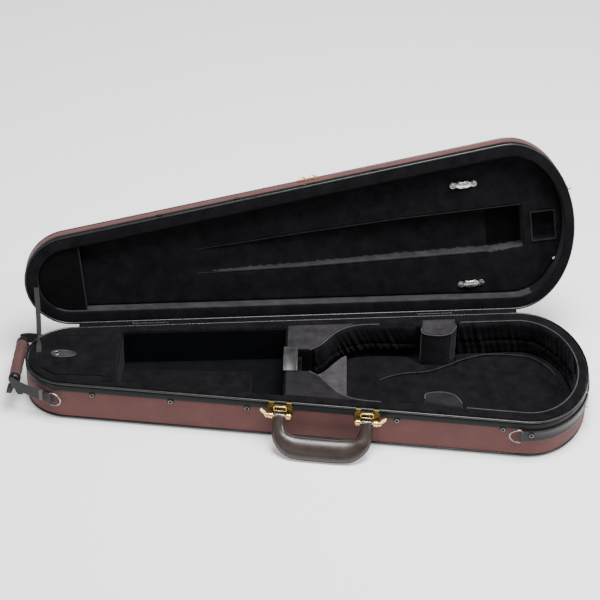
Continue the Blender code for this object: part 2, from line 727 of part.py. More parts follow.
def channel_levels():
    """The central channel deepens towards the big end: (x, front y, back y, depth)."""
    return [(-150, -17, 19, PAD_DEPTH), (0, -23, 28, 30.5), (148, -27, 34, 38.0), (270, -27, 39, 39.0)]


def build_lid_pad():
    """The pad that fills the lid behind the recess, with the central channel, its pit and a pocket."""
    top = arched([CAVITY_INSET, 36, CROWN_FLAT_INSET], 1.0 + 2 * GAP + WALL)
    pad = tub("lid_pad", [(CAVITY_INSET, PAD_DEPTH)] + top, "black_velvet")
    loops = []
    for x, front, back, depth in channel_levels():
        loops.append([(x, front, -5), (x, back, -5), (x, back, depth), (x, front, depth)])
    cut(pad, loft("channel_cutter", loops, "black_velvet"))
    pit = [(269.5, -27), (322, -27), (322, 36), (269.5, 39)]
    cut(pad, prism("pit_cutter", pit, -5, 42.5, "black_velvet"))
    square = [(335, -13), (370, -13), (370, 31), (335, 31)]
    cut(pad, prism("square_cutter", square, -5, 36, "black_velvet"))
    return pad


def build_tip_pocket():
    """A velvet panel across the scroll end; the bow tips slide in behind it."""
    mouth = -313.0
    inset = CAVITY_INSET + GAP
    arc = [p for p in small_arc(inset) if p[0] < mouth - 2]
    plan = [(mouth, side_y(mouth, inset)), *arc, (mouth, -side_y(mouth, inset))]
    return prism("bow_tip_pocket", plan, 6.0, 8.4, "black_velvet")


def rounded_bar(half_length, radius):
    """Plan of a bar with half-round ends."""
    turns = [pi / 2 + pi * k / 8 for k in range(9)]
    left = [(-half_length + radius * cos(t), radius * sin(t)) for t in turns]
    return left + [(-u, -v) for u, v in left]


def build_lid_trim():
    """Two turning bars on screwed plates hold the bows' frogs; each turns on its own centre."""
    made = []
    thickness = 1.6
    for n, (x, y) in enumerate(SPINNER_SPOTS, 1):
        low = PAD_DEPTH - GAP - thickness
        plate = prism(f"spinner_plate_{n}", rounded_bar(15.5, 4.2), low, PAD_DEPTH - GAP, "nickel")
        plate["lid_spot"] = (x, y)
        for side in (-1, 1):
            spot = (side * 15.5, 0, low)
            hole = cylinder(f"screw_hole_{n}_{side}", spot, (0, 0, 1), 1.5, 6, "nickel", 12)
            cut(plate, hole)
            hole["lid_spot"] = (x, y)
        bar = prism(f"bow_spinner_{n}", rounded_bar(8.0, 4.6), -3.4, 0.0, "nickel")
        add_bevel(bar, 1.0, 2)
        bar["lid_spot"] = (x, y)
        bar["lid_depth"] = low - GAP
        made += [plate, bar]
    made.append(build_lid_rings())
    return made


def hoop(name, centre_x, radius, wire_radius):
    """Half a ring standing out of the front wall, its feet in the plate."""
    turns = [2 * pi * n / 8 for n in range(8)]
    loops = []
    for k in range(9):
        spoke = Vector((cos(pi * k / 8), -sin(pi * k / 8), 0))
        loop = []
        for t in turns:
            point = Vector((centre_x, 0, wire_radius * sin(t))) + spoke * (radius + wire_radius * cos(t))
            loop.append(tuple(point))
        loops.append(loop)
    return loft(name, loops, "brass")


def build_lid_rings():
    """A small plate with two wire loops on the middle of the lid's front wall."""
    plate = cube("lid_ring_plate", (-15, -1.2, -3.5), (15, -GAP, 3.5), "brass")
    parts = [plate]
    for n, u in enumerate((-7.5, 7.5)):
        parts.append(hoop(f"lid_hoop_{n}", u, 4.8, 0.9))
        join(plate, parts[-1])
    trim = cube("hoop_trim", (-20, -GAP, -5), (20, 5, 5), "brass")
    parts.append(trim)
    cut(plate, trim)
    for part in parts:
        part["on_front_wall"] = True
    return plate


def hinge_origin():
    """Point on the hinge axis where the straight edge starts."""
    return edge_frame(1, 0, HINGE_OUT, HINGE_Z).translation


def mount_lid(pieces):
    """Hang the lid's pieces on a pivot on the hinge axis, opened by LID_OPEN degrees."""
    origin = hinge_origin()
    along = Vector((cos(TAPER), sin(TAPER), 0))
    pivot = bpy.data.objects.new("lid_pivot", None)
    CASE.objects.link(pivot)
    pivot.matrix_world = Matrix.Translation(origin * MM) @ Matrix.Rotation(radians(-LID_OPEN), 4, along)
    lift = Vector((0, 0, LID_Z)) - origin
    tools = [t for t in TOOLS.objects if t.name in LID_TOOLS or "lid_spot" in t or "on_front_wall" in t]
    for piece in pieces + tools:
        piece.parent = pivot
        if "on_front_wall" in piece:
            spot = edge_frame(-1, LID_RING_STATION, 0, LID_RING_Z)
        else:
            x, y = piece.get("lid_spot", (0, 0))
            spot = Matrix.Translation(Vector((x, y, piece.get("lid_depth", 0.0))))
        spot.translation = (spot.translation + lift) * MM
        piece.matrix_local = spot


LID_TOOLS = ("channel_cutter", "pit_cutter", "square_cutter")


# ---- hinges and stay --------------------------------------------------------------------
def build_hinge(number, station):
    """Butt hinge on the back edge: a leaf on each rim band and a pin through their barrels."""
    frame = edge_frame(1, station, HINGE_OUT, HINGE_Z)
    lid_frame = frame @ Matrix.Rotation(radians(-LID_OPEN), 4, "X")
    half, third = HINGE_WIDTH / 2, HINGE_WIDTH / 3
    inner, outer = GAP - HINGE_OUT, 1.2 - HINGE_OUT
    barrel_radius, relief_radius, pin_radius = 1.55, 1.85, 0.75

    def rod(name, across, radius, length, spot):
        made = cylinder(f"{name}_{number}", (across, 0, 0), (1, 0, 0), radius, length, "nickel", 14)
        return place(made, spot)

    base_leaf = cube(f"hinge_{number}_base_leaf", (-half, inner, -11.7), (half, outer, -0.6), "nickel")
    lid_leaf = cube(f"hinge_{number}_lid_leaf", (-half, inner, 0.8), (half, outer, 11.5), "nickel")
    place(base_leaf, frame)
    place(lid_leaf, lid_frame)
    for n, side in enumerate((-1, 1)):
        join(base_leaf, rod(f"base_barrel_{n}", side * third, barrel_radius, third - GAP, frame))
        cut(lid_leaf, rod(f"lid_relief_{n}", side * third, relief_radius, third + SNUG, lid_frame))
    cut(base_leaf, rod("base_relief", 0, relief_radius, third + SNUG, frame))
    join(lid_leaf, rod("lid_barrel", 0, barrel_radius, third - SNUG, lid_frame))
    cut(base_leaf, rod("base_bore", 0, pin_radius + 0.25, HINGE_WIDTH + 10, frame))
    cut(lid_leaf, rod("lid_bore", 0, pin_radius + 0.25, HINGE_WIDTH + 10, lid_frame))
    pin = cylinder(f"hinge_{number}_pin", (0, 0, 0), (1, 0, 0), pin_radius, HINGE_WIDTH - 1, "nickel", 14)
    place(pin, frame)


def open_point(x, y, z):
    """Where a point of the closed lid, z above its rim, lies once the lid is open."""
    along = Vector((cos(TAPER), sin(TAPER), 0))
    turn = Matrix.Rotation(radians(-LID_OPEN), 3, along)
    return hinge_origin() + turn @ (Vector((x, y, z + LID_Z)) - hinge_origin())


def build_stay():
    """A flat ribbon from the base's flange to the lid's flange at the scroll end."""
    foot = Vector((-376.5, 3, BASE_HEIGHT + 0.6))
    head = open_point(-379.0, 3, -1.2)
    half_width = Vector((3.6, 1.0, 0))
    thick = half_width.cross(head - foot).normalized() * 0.45
    corners = [half_width * a + thick * b for a, b in ((-1, -1), (1, -1), (1, 1), (-1, 1))]
    loops = [[tuple(end + corner) for corner in corners] for end in (foot, head)]
    loft("stay_ribbon", loops, "black_webbing")


def main():
    build_base_casing()
    build_base_liner()
    build_compartment()
    build_neck_rest()
    build_neck_strap()
    build_cavity_floor()
    build_waist_blocks()
    build_suspension()
    build_box_lid()
    build_handle()
    for side, centre, outward in zip(("left", "right"), ARM_CENTRES, (-1, 1)):
        build_bracket(side, centre)
        build_latch(side, centre, outward)
    build_strap_rings()
    build_grip()
    mount_lid(build_lid())
    for number, station in enumerate(HINGE_STATIONS, 1):
        build_hinge(number, station)
    build_stay()


clear_scene()
CASE = new_collection("violin_case")
TOOLS = new_collection("construction")
main()
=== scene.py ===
"""Looks of the open violin case: covers, trims, padded velvet, leather, metal, light and camera.

Lengths are millimetres and become Blender's metres where a mesh is made, as in the CAD source.
Lid pieces are drawn closed, with z = 0 on the lid's rim, and are then turned to the open position.
"""

import json
from math import asin, cos, hypot, pi, radians, sin, sqrt, tan

import bmesh
import bpy
from mathutils import Matrix, Vector, noise

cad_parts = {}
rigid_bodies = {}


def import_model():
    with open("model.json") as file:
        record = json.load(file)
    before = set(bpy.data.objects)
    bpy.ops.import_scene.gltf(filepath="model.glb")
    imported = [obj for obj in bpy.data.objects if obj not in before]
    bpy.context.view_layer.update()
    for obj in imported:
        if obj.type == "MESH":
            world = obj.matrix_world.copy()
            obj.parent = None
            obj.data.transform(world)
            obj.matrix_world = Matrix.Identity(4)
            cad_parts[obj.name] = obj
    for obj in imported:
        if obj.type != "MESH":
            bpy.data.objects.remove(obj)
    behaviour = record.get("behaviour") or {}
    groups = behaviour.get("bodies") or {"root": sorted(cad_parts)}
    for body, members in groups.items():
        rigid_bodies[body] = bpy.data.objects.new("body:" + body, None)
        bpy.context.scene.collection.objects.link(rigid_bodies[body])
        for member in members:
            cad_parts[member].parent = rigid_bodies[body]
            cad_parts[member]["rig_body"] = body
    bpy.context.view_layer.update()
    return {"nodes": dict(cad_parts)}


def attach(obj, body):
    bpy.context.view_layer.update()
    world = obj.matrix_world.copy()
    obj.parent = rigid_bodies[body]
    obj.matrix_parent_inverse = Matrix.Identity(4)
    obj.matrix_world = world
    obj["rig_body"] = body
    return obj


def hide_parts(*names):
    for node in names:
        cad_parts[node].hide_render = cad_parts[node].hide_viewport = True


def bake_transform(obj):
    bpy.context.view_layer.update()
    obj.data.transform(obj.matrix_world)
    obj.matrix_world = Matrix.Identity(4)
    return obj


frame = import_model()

NODES = frame["nodes"]
MM = 0.001

# ---- dimensions shared with the CAD model ---------------------------------------
LENGTH = 790.0
BIG_HALF_WIDTH = 126.0
SMALL_RADIUS = 66.5
END_SQUASH = 0.716
BASE_HEIGHT = 62.0
LID_SIDE = 34.0
LID_CROWN = 16.0
LID_OPEN = 105.0
LID_Z = 62.4  # the lid rim's height when closed
HINGE_Z = 62.2
HINGE_OUT = 1.4
BEAD_RADIUS = 1.7
CAVITY_INSET = 20.0
CROWN_FLAT_INSET = 58.0
NECK_HALF_WIDTH = 24.0
PAD_DEPTH = 22.0
PIT_DEPTH = 42.5
SNUG = 0.4
LOWER_WALL_END = 376.0
NECK_STRAP_X = -22.5
STRAP_ARCH = 6.8
PULL_TAB_X = -341.0
BASE_RIVETS = (40, 150, 256, 462, 606)  # stations along the front edge
LID_RIVETS = (142, 254, 453)
ARM_CENTRES = (302.0, 421.5)
PIVOT_Z = 44.5
PIVOT_OUT = 8.5
BARREL_AT = 12.2
LEVER_AT = 17.6
HANDLE_TILT = 44.0
HANDLE_REACH = 57.0
GRIP_HALF_DEPTH = 15.0
STRAP_STATION = 636.0
STRAP_Z = 39.4
STRAP_HALF_WIDTH = 9.0
RING_OUT = 3.6
RING_HALF_HEIGHT = 10.5
RING_REACH = 16.0
RING_BEARING = 249.0
SPINNER_SPOTS = ((241.5, -67.0), (242.0, 84.5))
GRIP_HINGE = Vector((-364.0, 0.0, 38.0))
ROLL_FROM_HINGE = Vector((-41.5, 0.0, 12.0))
GRIP_HALF_LENGTH = 47.0

TAPER = asin(
    (BIG_HALF_WIDTH - SMALL_RADIUS)
    / (LENGTH - BIG_HALF_WIDTH * END_SQUASH - SMALL_RADIUS)
)
SMALL_X = SMALL_RADIUS - LENGTH / 2
BIG_X = LENGTH / 2 - BIG_HALF_WIDTH * END_SQUASH


# ---- plan of the case --------------------------------------------------------------
def side_y(x, inset):
    """Half width of the straight tapering side at x, moved in by inset."""
    return (SMALL_RADIUS - inset) / cos(TAPER) + (x - SMALL_X) * tan(TAPER)


def big_arc(inset, steps=96):
    sweep = pi + 2 * TAPER
    radius = BIG_HALF_WIDTH - inset
    points = []
    for k in range(steps + 1):
        angle = -sweep / 2 + sweep * k / steps
        stretch = END_SQUASH if cos(angle) > 0 else 1.0
        points.append((BIG_X + radius * stretch * cos(angle), radius * sin(angle)))
    return points


def small_arc(inset, steps=56):
    sweep = pi - 2 * TAPER
    radius = SMALL_RADIUS - inset
    angles = [pi / 2 + TAPER + sweep * k / steps for k in range(steps + 1)]
    return [(SMALL_X + radius * cos(a), radius * sin(a)) for a in angles]


def full_turn(steps):
    return [2 * pi * k / steps for k in range(steps)]


def between(a, b, steps):
    """Points dividing the straight run from a to b, both ends left out."""
    return [tuple(p + (q - p) * k / steps for p, q in zip(a, b)) for k in range(1, steps)]


def outline(inset, straight=90):
    """Anticlockwise plan of the case moved in by inset, with the same points for any inset."""
    big, small = big_arc(inset), small_arc(inset)
    return big + between(big[-1], small[0], straight) + small + between(small[-1], big[0], straight)


def smooth_value(a, b, c, d, t):
    """Catmull-Rom value between b and c."""
    return b + ((c - a) * t + (2 * a - 5 * b + 4 * c - d) * t**2 + (3 * b - a - 3 * c + d) * t**3) / 2


def smooth_line(points, steps=5):
    ends = [points[0], *points, points[-1]]
    made = []
    for p0, p1, p2, p3 in zip(ends, ends[1:], ends[2:], ends[3:]):
        for k in range(steps):
            made.append(tuple(smooth_value(*values, k / steps) for values in zip(p0, p1, p2, p3)))
    made.append(tuple(points[-1]))
    return made


def even_line(points, spacing):
    """The same plan line with its points an even distance apart."""
    lengths = [0.0]
    for (x0, y0), (x1, y1) in zip(points, points[1:]):
        lengths.append(lengths[-1] + hypot(x1 - x0, y1 - y0))
    count = max(2, round(lengths[-1] / spacing))
    made, at = [], 0
    for k in range(count + 1):
        goal = lengths[-1] * k / count
        while at < len(points) - 2 and lengths[at + 1] < goal:
            at += 1
        part = (goal - lengths[at]) / (lengths[at + 1] - lengths[at])
        made.append(tuple(a + (b - a) * part for a, b in zip(points[at], points[at + 1])))
    return made


def right_normals(points):
    """Unit vectors to the right of an open plan line."""
    made = []
    for i in range(len(points)):
        x0, y0 = points[max(i - 1, 0)]
        x1, y1 = points[min(i + 1, len(points) - 1)]
        size = hypot(x1 - x0, y1 - y0)
        made.append(((y1 - y0) / size, -(x1 - x0) / size))
    return made


def upper_bout_line():
    shoulder = [(4, NECK_HALF_WIDTH), (19, 36), (33, 56), (48, 73)]
    return smooth_line(shoulder + [(72, 84.5), (112, 88.5), (162, 88)])


def edge_frame(side, station, out, z):
    """Frame on a straight side: X along the edge, Z up. side is -1 in front, +1 at the hinges."""
    along = Vector((cos(TAPER), side * sin(TAPER), 0))
    outward = Vector((-sin(TAPER), side * cos(TAPER), 0))
    origin = Vector((SMALL_X, 0, z)) + outward * (SMALL_RADIUS + out) + along * station
    up = Vector((0, 0, 1))
    placed = Matrix((along, up.cross(along), up)).transposed().to_4x4()
    placed.translation = origin
    return placed


def end_frame(centre_x, radius, squash, degrees, out, z):
    """Frame on an end's arc, X along the wall, Y into the case, Z up."""
    turn = radians(degrees)
    spot = Vector((centre_x + radius * squash * cos(turn), radius * sin(turn), z))
    outward = Vector((cos(turn) / squash, sin(turn), 0)).normalized()
    along = Vector((-outward.y, outward.x, 0))
    up = Vector((0, 0, 1))
    placed = Matrix((along, up.cross(along), up)).transposed().to_4x4()
    placed.translation = spot + outward * out
    return placed


def hinge_origin():
    return edge_frame(1, 0, HINGE_OUT, HINGE_Z).translation


def opened():
    """Carries a point of the closed lid, measured from its rim, to where it lies with the lid open."""
    along = Vector((cos(TAPER), sin(TAPER), 0))
    origin = hinge_origin()
    turn = Matrix.Rotation(radians(-LID_OPEN), 4, along)
    return Matrix.Translation(origin) @ turn @ Matrix.Translation(Vector((0, 0, LID_Z)) - origin)


# ---- materials ---------------------------------------------------------------------
def new_material(name, rough, metal=0.0, **sockets):
    """A material, its shader, and a function that adds a node with inputs set or linked."""
    made = bpy.data.materials.new(name)
    made.use_nodes = True
    tree = made.node_tree
    shader = tree.nodes["Principled BSDF"]
    shader.inputs["Roughness"].default_value = rough
    shader.inputs["Metallic"].default_value = metal
    for socket, value in sockets.items():
        shader.inputs[socket.replace("_", " ")].default_value = value

    def put(node, socket, value):
        if isinstance(value, bpy.types.NodeSocket):
            tree.links.new(value, node.inputs[socket])
        else:
            node.inputs[socket].default_value = value

    def add(kind, inputs, **settings):
        node = tree.nodes.new("ShaderNode" + kind)
        for key, value in settings.items():
            setattr(node, key, value)
        for socket, value in inputs.items():
            put(node, socket, value)
        return node

    return made, shader, add, put


def two_tone(add, fac, dark, light, low=0.3, high=0.7):
    """Colour that runs from dark to light as fac goes from low to high."""
    ramp = add("ValToRGB", {"Fac": fac})
    ramp.color_ramp.elements[0].position = low
    ramp.color_ramp.elements[0].color = (*dark, 1)
    ramp.color_ramp.elements[1].position = high
    ramp.color_ramp.elements[1].color = (*light, 1)
    return ramp.outputs["Color"]


def blended(add, a, b, amount):
    mix = add("Mix", {"Factor": amount, 6: a, 7: b}, data_type="RGBA", blend_type="MULTIPLY")
    return mix.outputs[2]


def velvet(name, dark, light, sheen, pile=0.7):
    """Short pile: dark, with soft patches where it is brushed, and a fine grain."""
    made, shader, add, put = new_material(
        name, 0.92, Sheen_Weight=sheen, Sheen_Roughness=0.42, Sheen_Tint=(0.80, 0.78, 0.92, 1)
    )
    shader.inputs["Specular IOR Level"].default_value = 0.06
    where = add("TexCoord", {}).outputs["Object"]
    brushed = add("TexNoise", {"Vector": where, "Scale": 55.0, "Detail": 4.0, "Roughness": 0.6})
    grain = add("TexNoise", {"Vector": where, "Scale": 1.0 / (pile * MM), "Detail": 3.0})
    patches = two_tone(add, brushed.outputs["Fac"], dark, light)
    speckle = two_tone(add, grain.outputs["Fac"], (0.45, 0.45, 0.45), (1.5, 1.5, 1.55), 0.35, 0.68)
    put(shader, "Base Color", blended(add, patches, speckle, 1.0))
    bump = add("Bump", {"Height": grain.outputs["Fac"], "Strength": 0.55, "Distance": 0.5 * MM})
    put(shader, "Normal", bump.outputs["Normal"])
    return made


def woven(name, dark, light, pitch, rough, depth, sheen=0.25, rib=False):
    """Plain weave, or ribbed webbing, from two crossed waves along the piece's own UV lengths."""
    made, shader, add, put = new_material(name, rough, Sheen_Weight=sheen, Sheen_Roughness=0.5)
    coords = add("TexCoord", {})
    scale = 0.1 * pi / (pitch * MM)  # a wave texture's bands are pi / 10 apart at scale 1
    over = add("TexWave", {"Vector": coords.outputs["UV"], "Scale": scale}, bands_direction="X")
    under_scale = scale * (0.45 if rib else 1.0)
    under = add("TexWave", {"Vector": coords.outputs["UV"], "Scale": under_scale}, bands_direction="Y")
    threads = add("Math", {0: over.outputs["Fac"], 1: under.outputs["Fac"]}, operation="MULTIPLY")
    fibre = add("TexNoise", {"Vector": coords.outputs["Object"], "Scale": 900.0, "Detail": 4.0})
    wear = add("TexNoise", {"Vector": coords.outputs["Object"], "Scale": 30.0, "Detail": 5.0})
    tone = two_tone(add, wear.outputs["Fac"], dark, light, 0.25, 0.75)
    thread_tone = two_tone(add, threads.outputs[0], (0.62, 0.6, 0.6), (1.12, 1.1, 1.1), 0.0, 0.7)
    fibre_tone = two_tone(add, fibre.outputs["Fac"], (0.72, 0.72, 0.72), (1.22, 1.2, 1.2), 0.3, 0.7)
    put(shader, "Base Color", blended(add, blended(add, tone, thread_tone, 1.0), fibre_tone, 1.0))
    height = add("Math", {0: threads.outputs[0], 1: fibre.outputs["Fac"]}, operation="ADD")
    bump = add("Bump", {"Height": height.outputs[0], "Strength": 0.6, "Distance": depth * MM})
    put(shader, "Normal", bump.outputs["Normal"])
    return made


def leather(name, dark, light, rough, grain, coat=0.0, shine=0.25, relief=1.0):
    """Pebbled hide: cells with creases between them painted darker as shade, worn paler on the high spots.
    """
    made, shader, add, put = new_material(name, rough, Coat_Weight=coat, Coat_Roughness=0.25)
    shader.inputs["Specular IOR Level"].default_value = shine
    where = add("TexCoord", {}).outputs["Object"]
    cells = add("TexVoronoi", {"Vector": where, "Scale": 1.0 / (grain * MM)}, feature="DISTANCE_TO_EDGE")
    wear = add("TexNoise", {"Vector": where, "Scale": 70.0, "Detail": 5.0})
    fine = add("TexNoise", {"Vector": where, "Scale": 1800.0, "Detail": 3.0})
    tone = two_tone(add, wear.outputs["Fac"], dark, light, 0.3, 0.72)
    # Painted shade: the colour is darker along the creases between the pebbles.
    crease_shade = two_tone(add, cells.outputs["Distance"], (0.6, 0.6, 0.6), (1.1, 1.1, 1.1), 0.0, 0.2)
    put(shader, "Base Color", blended(add, tone, crease_shade, 1.0))
    gloss = add("MapRange", {"Value": wear.outputs["Fac"], "To Min": rough - 0.1, "To Max": rough + 0.12})
    put(shader, "Roughness", gloss.outputs["Result"])
    pebble = add("Math", {0: cells.outputs["Distance"], 1: 0.25}, operation="MINIMUM")
    height = add("Math", {0: pebble.outputs[0], 1: fine.outputs["Fac"], 2: 0.0}, operation="ADD")
    bump = add("Bump", {"Height": height.outputs[0], "Strength": 0.35 * relief, "Distance": 0.25 * MM})
    put(shader, "Normal", bump.outputs["Normal"])
    return made


def metal(name, dark, light, rough):
    """Plated metal with faint polishing marks and dulled patches."""
    made, shader, add, put = new_material(name, rough, 1.0)
    where = add("TexCoord", {}).outputs["Object"]
    dull = add("TexNoise", {"Vector": where, "Scale": 220.0, "Detail": 5.0})
    marks = add("TexNoise", {"Vector": where, "Scale": 2600.0, "Detail": 2.0})
    put(shader, "Base Color", two_tone(add, dull.outputs["Fac"], dark, light))
    gloss = add("MapRange", {"Value": dull.outputs["Fac"], "To Min": rough - 0.06, "To Max": rough + 0.14})
    put(shader, "Roughness", gloss.outputs["Result"])
    bump = add("Bump", {"Height": marks.outputs["Fac"], "Strength": 0.12, "Distance": 0.05 * MM})
    put(shader, "Normal", bump.outputs["Normal"])
    return made


def foam(name):
    made, shader, add, put = new_material(name, 0.95)
    where = add("TexCoord", {}).outputs["Object"]
    cells = add("TexVoronoi", {"Vector": where, "Scale": 500.0})
    tone = two_tone(add, cells.outputs["Distance"], (0.02, 0.02, 0.02), (0.08, 0.08, 0.08))
    put(shader, "Base Color", tone)
    bump = add("Bump", {"Height": cells.outputs["Distance"], "Strength": 0.5, "Distance": 0.4 * MM})
    put(shader, "Normal", bump.outputs["Normal"])
    return made


FINISH = {
    "burgundy_fabric": woven(
        "burgundy_weave", (0.096, 0.0300, 0.0270),
        (0.138, 0.0455, 0.0400), 1.1, 0.85, 0.22, 0.05
    ),
    "black_trim": leather(
        "black_vinyl", (0.0030, 0.0038, 0.0036),
        (0.0056, 0.0068, 0.0065), 0.44, 1.1, 0.0, 0.14
    ),
    "black_velvet": velvet("lining_velvet", (0.0026, 0.0023, 0.0029), (0.0074, 0.0066, 0.0078), 0.035),
    "blue_lining": velvet(
        "compartment_velvet", (0.0018, 0.0022, 0.0032),
        (0.0034, 0.0040, 0.0056), 0.025, 0.5
    ),
    "foam_shell": foam("shell_foam"),
    "brown_leather": leather(
        "handle_leather", (0.020, 0.0125, 0.0098),
        (0.036, 0.0240, 0.0190), 0.30, 1.4, 0.0, 0.5, 0.5
    ),
    "grey_leather": leather(
        "strap_leather", (0.022, 0.0235, 0.023),
        (0.044, 0.047, 0.045), 0.40, 1.2, 0.0, 0.3
    ),
    "black_webbing": woven(
        "webbing", (0.0045, 0.0045, 0.0048),
        (0.0105, 0.0105, 0.0112), 1.3, 0.75, 0.5, 0.04, True
    ),
    "brass": metal("gold_plate", (0.62, 0.40, 0.14), (0.86, 0.62, 0.28), 0.2),
    "nickel": metal("nickel_plate", (0.48, 0.48, 0.49), (0.78, 0.78, 0.79), 0.2),
}
# Painted light: a pale copy of the lining velvet for the brightest lit top, the heel pad.
PALE_VELVET = velvet("pale_velvet_painted_light", (0.030, 0.027, 0.030), (0.062, 0.056, 0.060), 0.10, 0.8)
# Painted highlight: a light velvet for welts along edges that catch the light.
LIT_WELT_VELVET = velvet("welt_velvet_painted_highlight", (0.040, 0.037, 0.040), (0.070, 0.066, 0.070), 0.12, 0.6)
# Painted light: a paler copy of the lining velvet for faces that look up into the top lamp.
LIT_VELVET = velvet("velvet_painted_light", (0.016, 0.0145, 0.016), (0.036, 0.033, 0.036), 0.08, 0.8)
# Painted half light: a mid copy of the lining velvet for the waist blocks, the facing in front of the neck
# slot and the lid's edge welts.
BLOCK_VELVET = velvet("velvet_painted_half_light", (0.0085, 0.0078, 0.0090), (0.018, 0.0165, 0.0185), 0.07, 0.8)
BEAD_VINYL = leather(
    "bead_vinyl", (0.004, 0.005, 0.005),
    (0.008, 0.0092, 0.009), 0.30, 1.0, 0.0, 0.45, 0.06
)
# Painted reflection: brass darkened to near black, for the bracket plates and rim clips that mirror the dark
# case.
DARK_BRASS = metal("brass_painted_dark_reflection", (0.028, 0.022, 0.008), (0.085, 0.064, 0.022), 0.36)
# Painted reflection: nickel darkened to near black, for the hinges that mirror the dark case; the tab's snap
# socket uses it too.
DARK_NICKEL = metal("darkened_nickel", (0.018, 0.018, 0.019), (0.050, 0.050, 0.053), 0.5)
WORN_NICKEL = metal("worn_nickel", (0.16, 0.16, 0.165), (0.40, 0.40, 0.41), 0.24)
# Painted shade: near-black velvet for the pit at the bow channel's deep end; on the bow tip pocket it is
# partly that cloth's own darker colour and partly painted shade.
DEEP_SHADE_VELVET = velvet("velvet_painted_deep_shade", (0.0012, 0.0011, 0.0012), (0.0028, 0.0026, 0.0028), 0.012)
EDGE_LEATHER = leather(
    "edge_leather", (0.005, 0.0035, 0.003),
    (0.010, 0.0075, 0.006), 0.34, 1.4, 0.0, 0.4, 0.4
)
BINDING = woven("binding_tape", (0.060, 0.058, 0.056), (0.105, 0.102, 0.100), 0.9, 0.6, 0.3, 0.04)
# Painted shade: a darker copy of the burgundy weave for the grip roll, which faces up into the top lamp.
GRIP_FABRIC = woven("grip_weave_painted_shade", (0.060, 0.021, 0.019), (0.092, 0.033, 0.030), 1.1, 0.85, 0.22, 0.03)
STRAP_LEATHER = leather(
    "end_strap_leather", (0.0050, 0.0058, 0.0050),
    (0.0110, 0.0122, 0.0105), 0.36, 1.3, 0.0, 0.3
)
THREAD = woven("dark_thread", (0.010, 0.008, 0.008), (0.028, 0.022, 0.020), 0.5, 0.7, 0.1)


# ---- mesh helpers ------------------------------------------------------------------
def add_skin(bm, loops, closed=False, cyclic=True, capped=True):
    """Quads between equal loops of points in mm, with UVs that are lengths in metres."""
    uv = bm.loops.layers.uv.verify()
    rows = [[bm.verts.new(Vector(p) * MM) for p in loop] for loop in loops]
    count = len(rows[0])
    spans = count if cyclic else count - 1
    across = [0.0]
    for i in range(spans):
        across.append(across[-1] + (rows[0][(i + 1) % count].co - rows[0][i].co).length)
    pairs = list(zip(rows, rows[1:]))
    if closed:
        pairs.append((rows[-1], rows[0]))
    down = 0.0
    for low, high in pairs:
        step = (high[0].co - low[0].co).length
        for i in range(spans):
            j = (i + 1) % count
            face = bm.faces.new((low[i], low[j], high[j], high[i]))
            left, right = across[i], across[i + 1]
            spots = ((left, down), (right, down), (right, down + step), (left, down + step))
            for corner, spot in zip(face.loops, spots):
                corner[uv].uv = spot
        down += step
    if capped and cyclic and not closed:
        for row in (rows[0][::-1], rows[-1]):
            face = bm.faces.new(row)
            for corner in face.loops:
                corner[uv].uv = corner.vert.co.xy


def to_object(name, bm, slot, body, *nodes, smooth=40.0, material=None):
    """A finished piece on its body; lid pieces are turned to the open position."""
    bmesh.ops.recalc_face_normals(bm, faces=bm.faces)
    mesh = bpy.data.meshes.new(name)
    bm.to_mesh(mesh)
    bm.free()
    mesh.shade_smooth()
    mesh.set_sharp_from_angle(angle=radians(smooth))
    made = bpy.data.objects.new(name, mesh)
    bpy.context.scene.collection.objects.link(made)
    if body == "lid" or (body or "").startswith("bow_spinner"):
        turn = opened()
        turn.translation *= MM
        mesh.transform(turn)
    return settle(made, slot, body, *nodes, material=material)


def skin_piece(name, loops, *place, closed=False, **look):
    """A piece of one skin."""
    bm = bmesh.new()
    add_skin(bm, loops, closed=closed)
    return to_object(name, bm, *place, **look)


def settle(made, slot, body, *nodes, material=None):
    made.data.materials.clear()
    made.data.materials.append(material or FINISH[slot])
    if body:
        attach(made, body)
    if nodes:
        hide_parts(*nodes)
    return made


def moved(loops, matrix):
    return [[matrix @ Vector(p) for p in loop] for loop in loops]


def lathe(profile, matrix, steps=24):
    """Loops of a turned shape from (radius, height) points about the matrix's Z."""
    turns = full_turn(steps)
    return moved([[(r * cos(t), r * sin(t), z) for t in turns] for r, z in profile], matrix)


def tube(path, radius, sides=12):
    """Loops round a smooth path of points."""
    path = [Vector(p) for p in path]
    loops = []
    side = None
    for i, point in enumerate(path):
        ahead = (path[min(i + 1, len(path) - 1)] - path[max(i - 1, 0)]).normalized()
        if side is None:
            side = ahead.orthogonal().normalized()
        side = (side - ahead * side.dot(ahead)).normalized()
        up = ahead.cross(side)
        turns = full_turn(sides)
        loops.append([point + side * radius * cos(t) + up * radius * sin(t) for t in turns])
    return loops


def block_loops(outline_points, low, high, radius, steps=3):
    """Loops of a plate with rounded top and bottom edges, from a convex plan about its centre."""
    cx = sum(p[0] for p in outline_points) / len(outline_points)
    cy = sum(p[1] for p in outline_points) / len(outline_points)
    reach = max(hypot(x - cx, y - cy) for x, y in outline_points)
    loops = []
    levels = []
    for k in range(steps + 1):
        t = pi / 2 * k / steps
        levels.append((radius * (1 - sin(t)), low + radius * (1 - cos(t))))
    for k in range(steps + 1):
        t = pi / 2 * k / steps
        levels.append((radius * (1 - cos(t)), high - radius * (1 - sin(t))))
    for inward, z in levels:
        loop = []
        for x, y in outline_points:
            size = hypot(x - cx, y - cy)
            keep = max(0.0, (size - inward * (size / reach) ** 0.2) / size)
            loop.append((cx + (x - cx) * keep, cy + (y - cy) * keep, z))
        loops.append(loop)
    return loops


def ruffle(point, size, amount):
    """A small smooth random offset, the same each run."""
    return noise.noise(Vector(point) / size) * amount


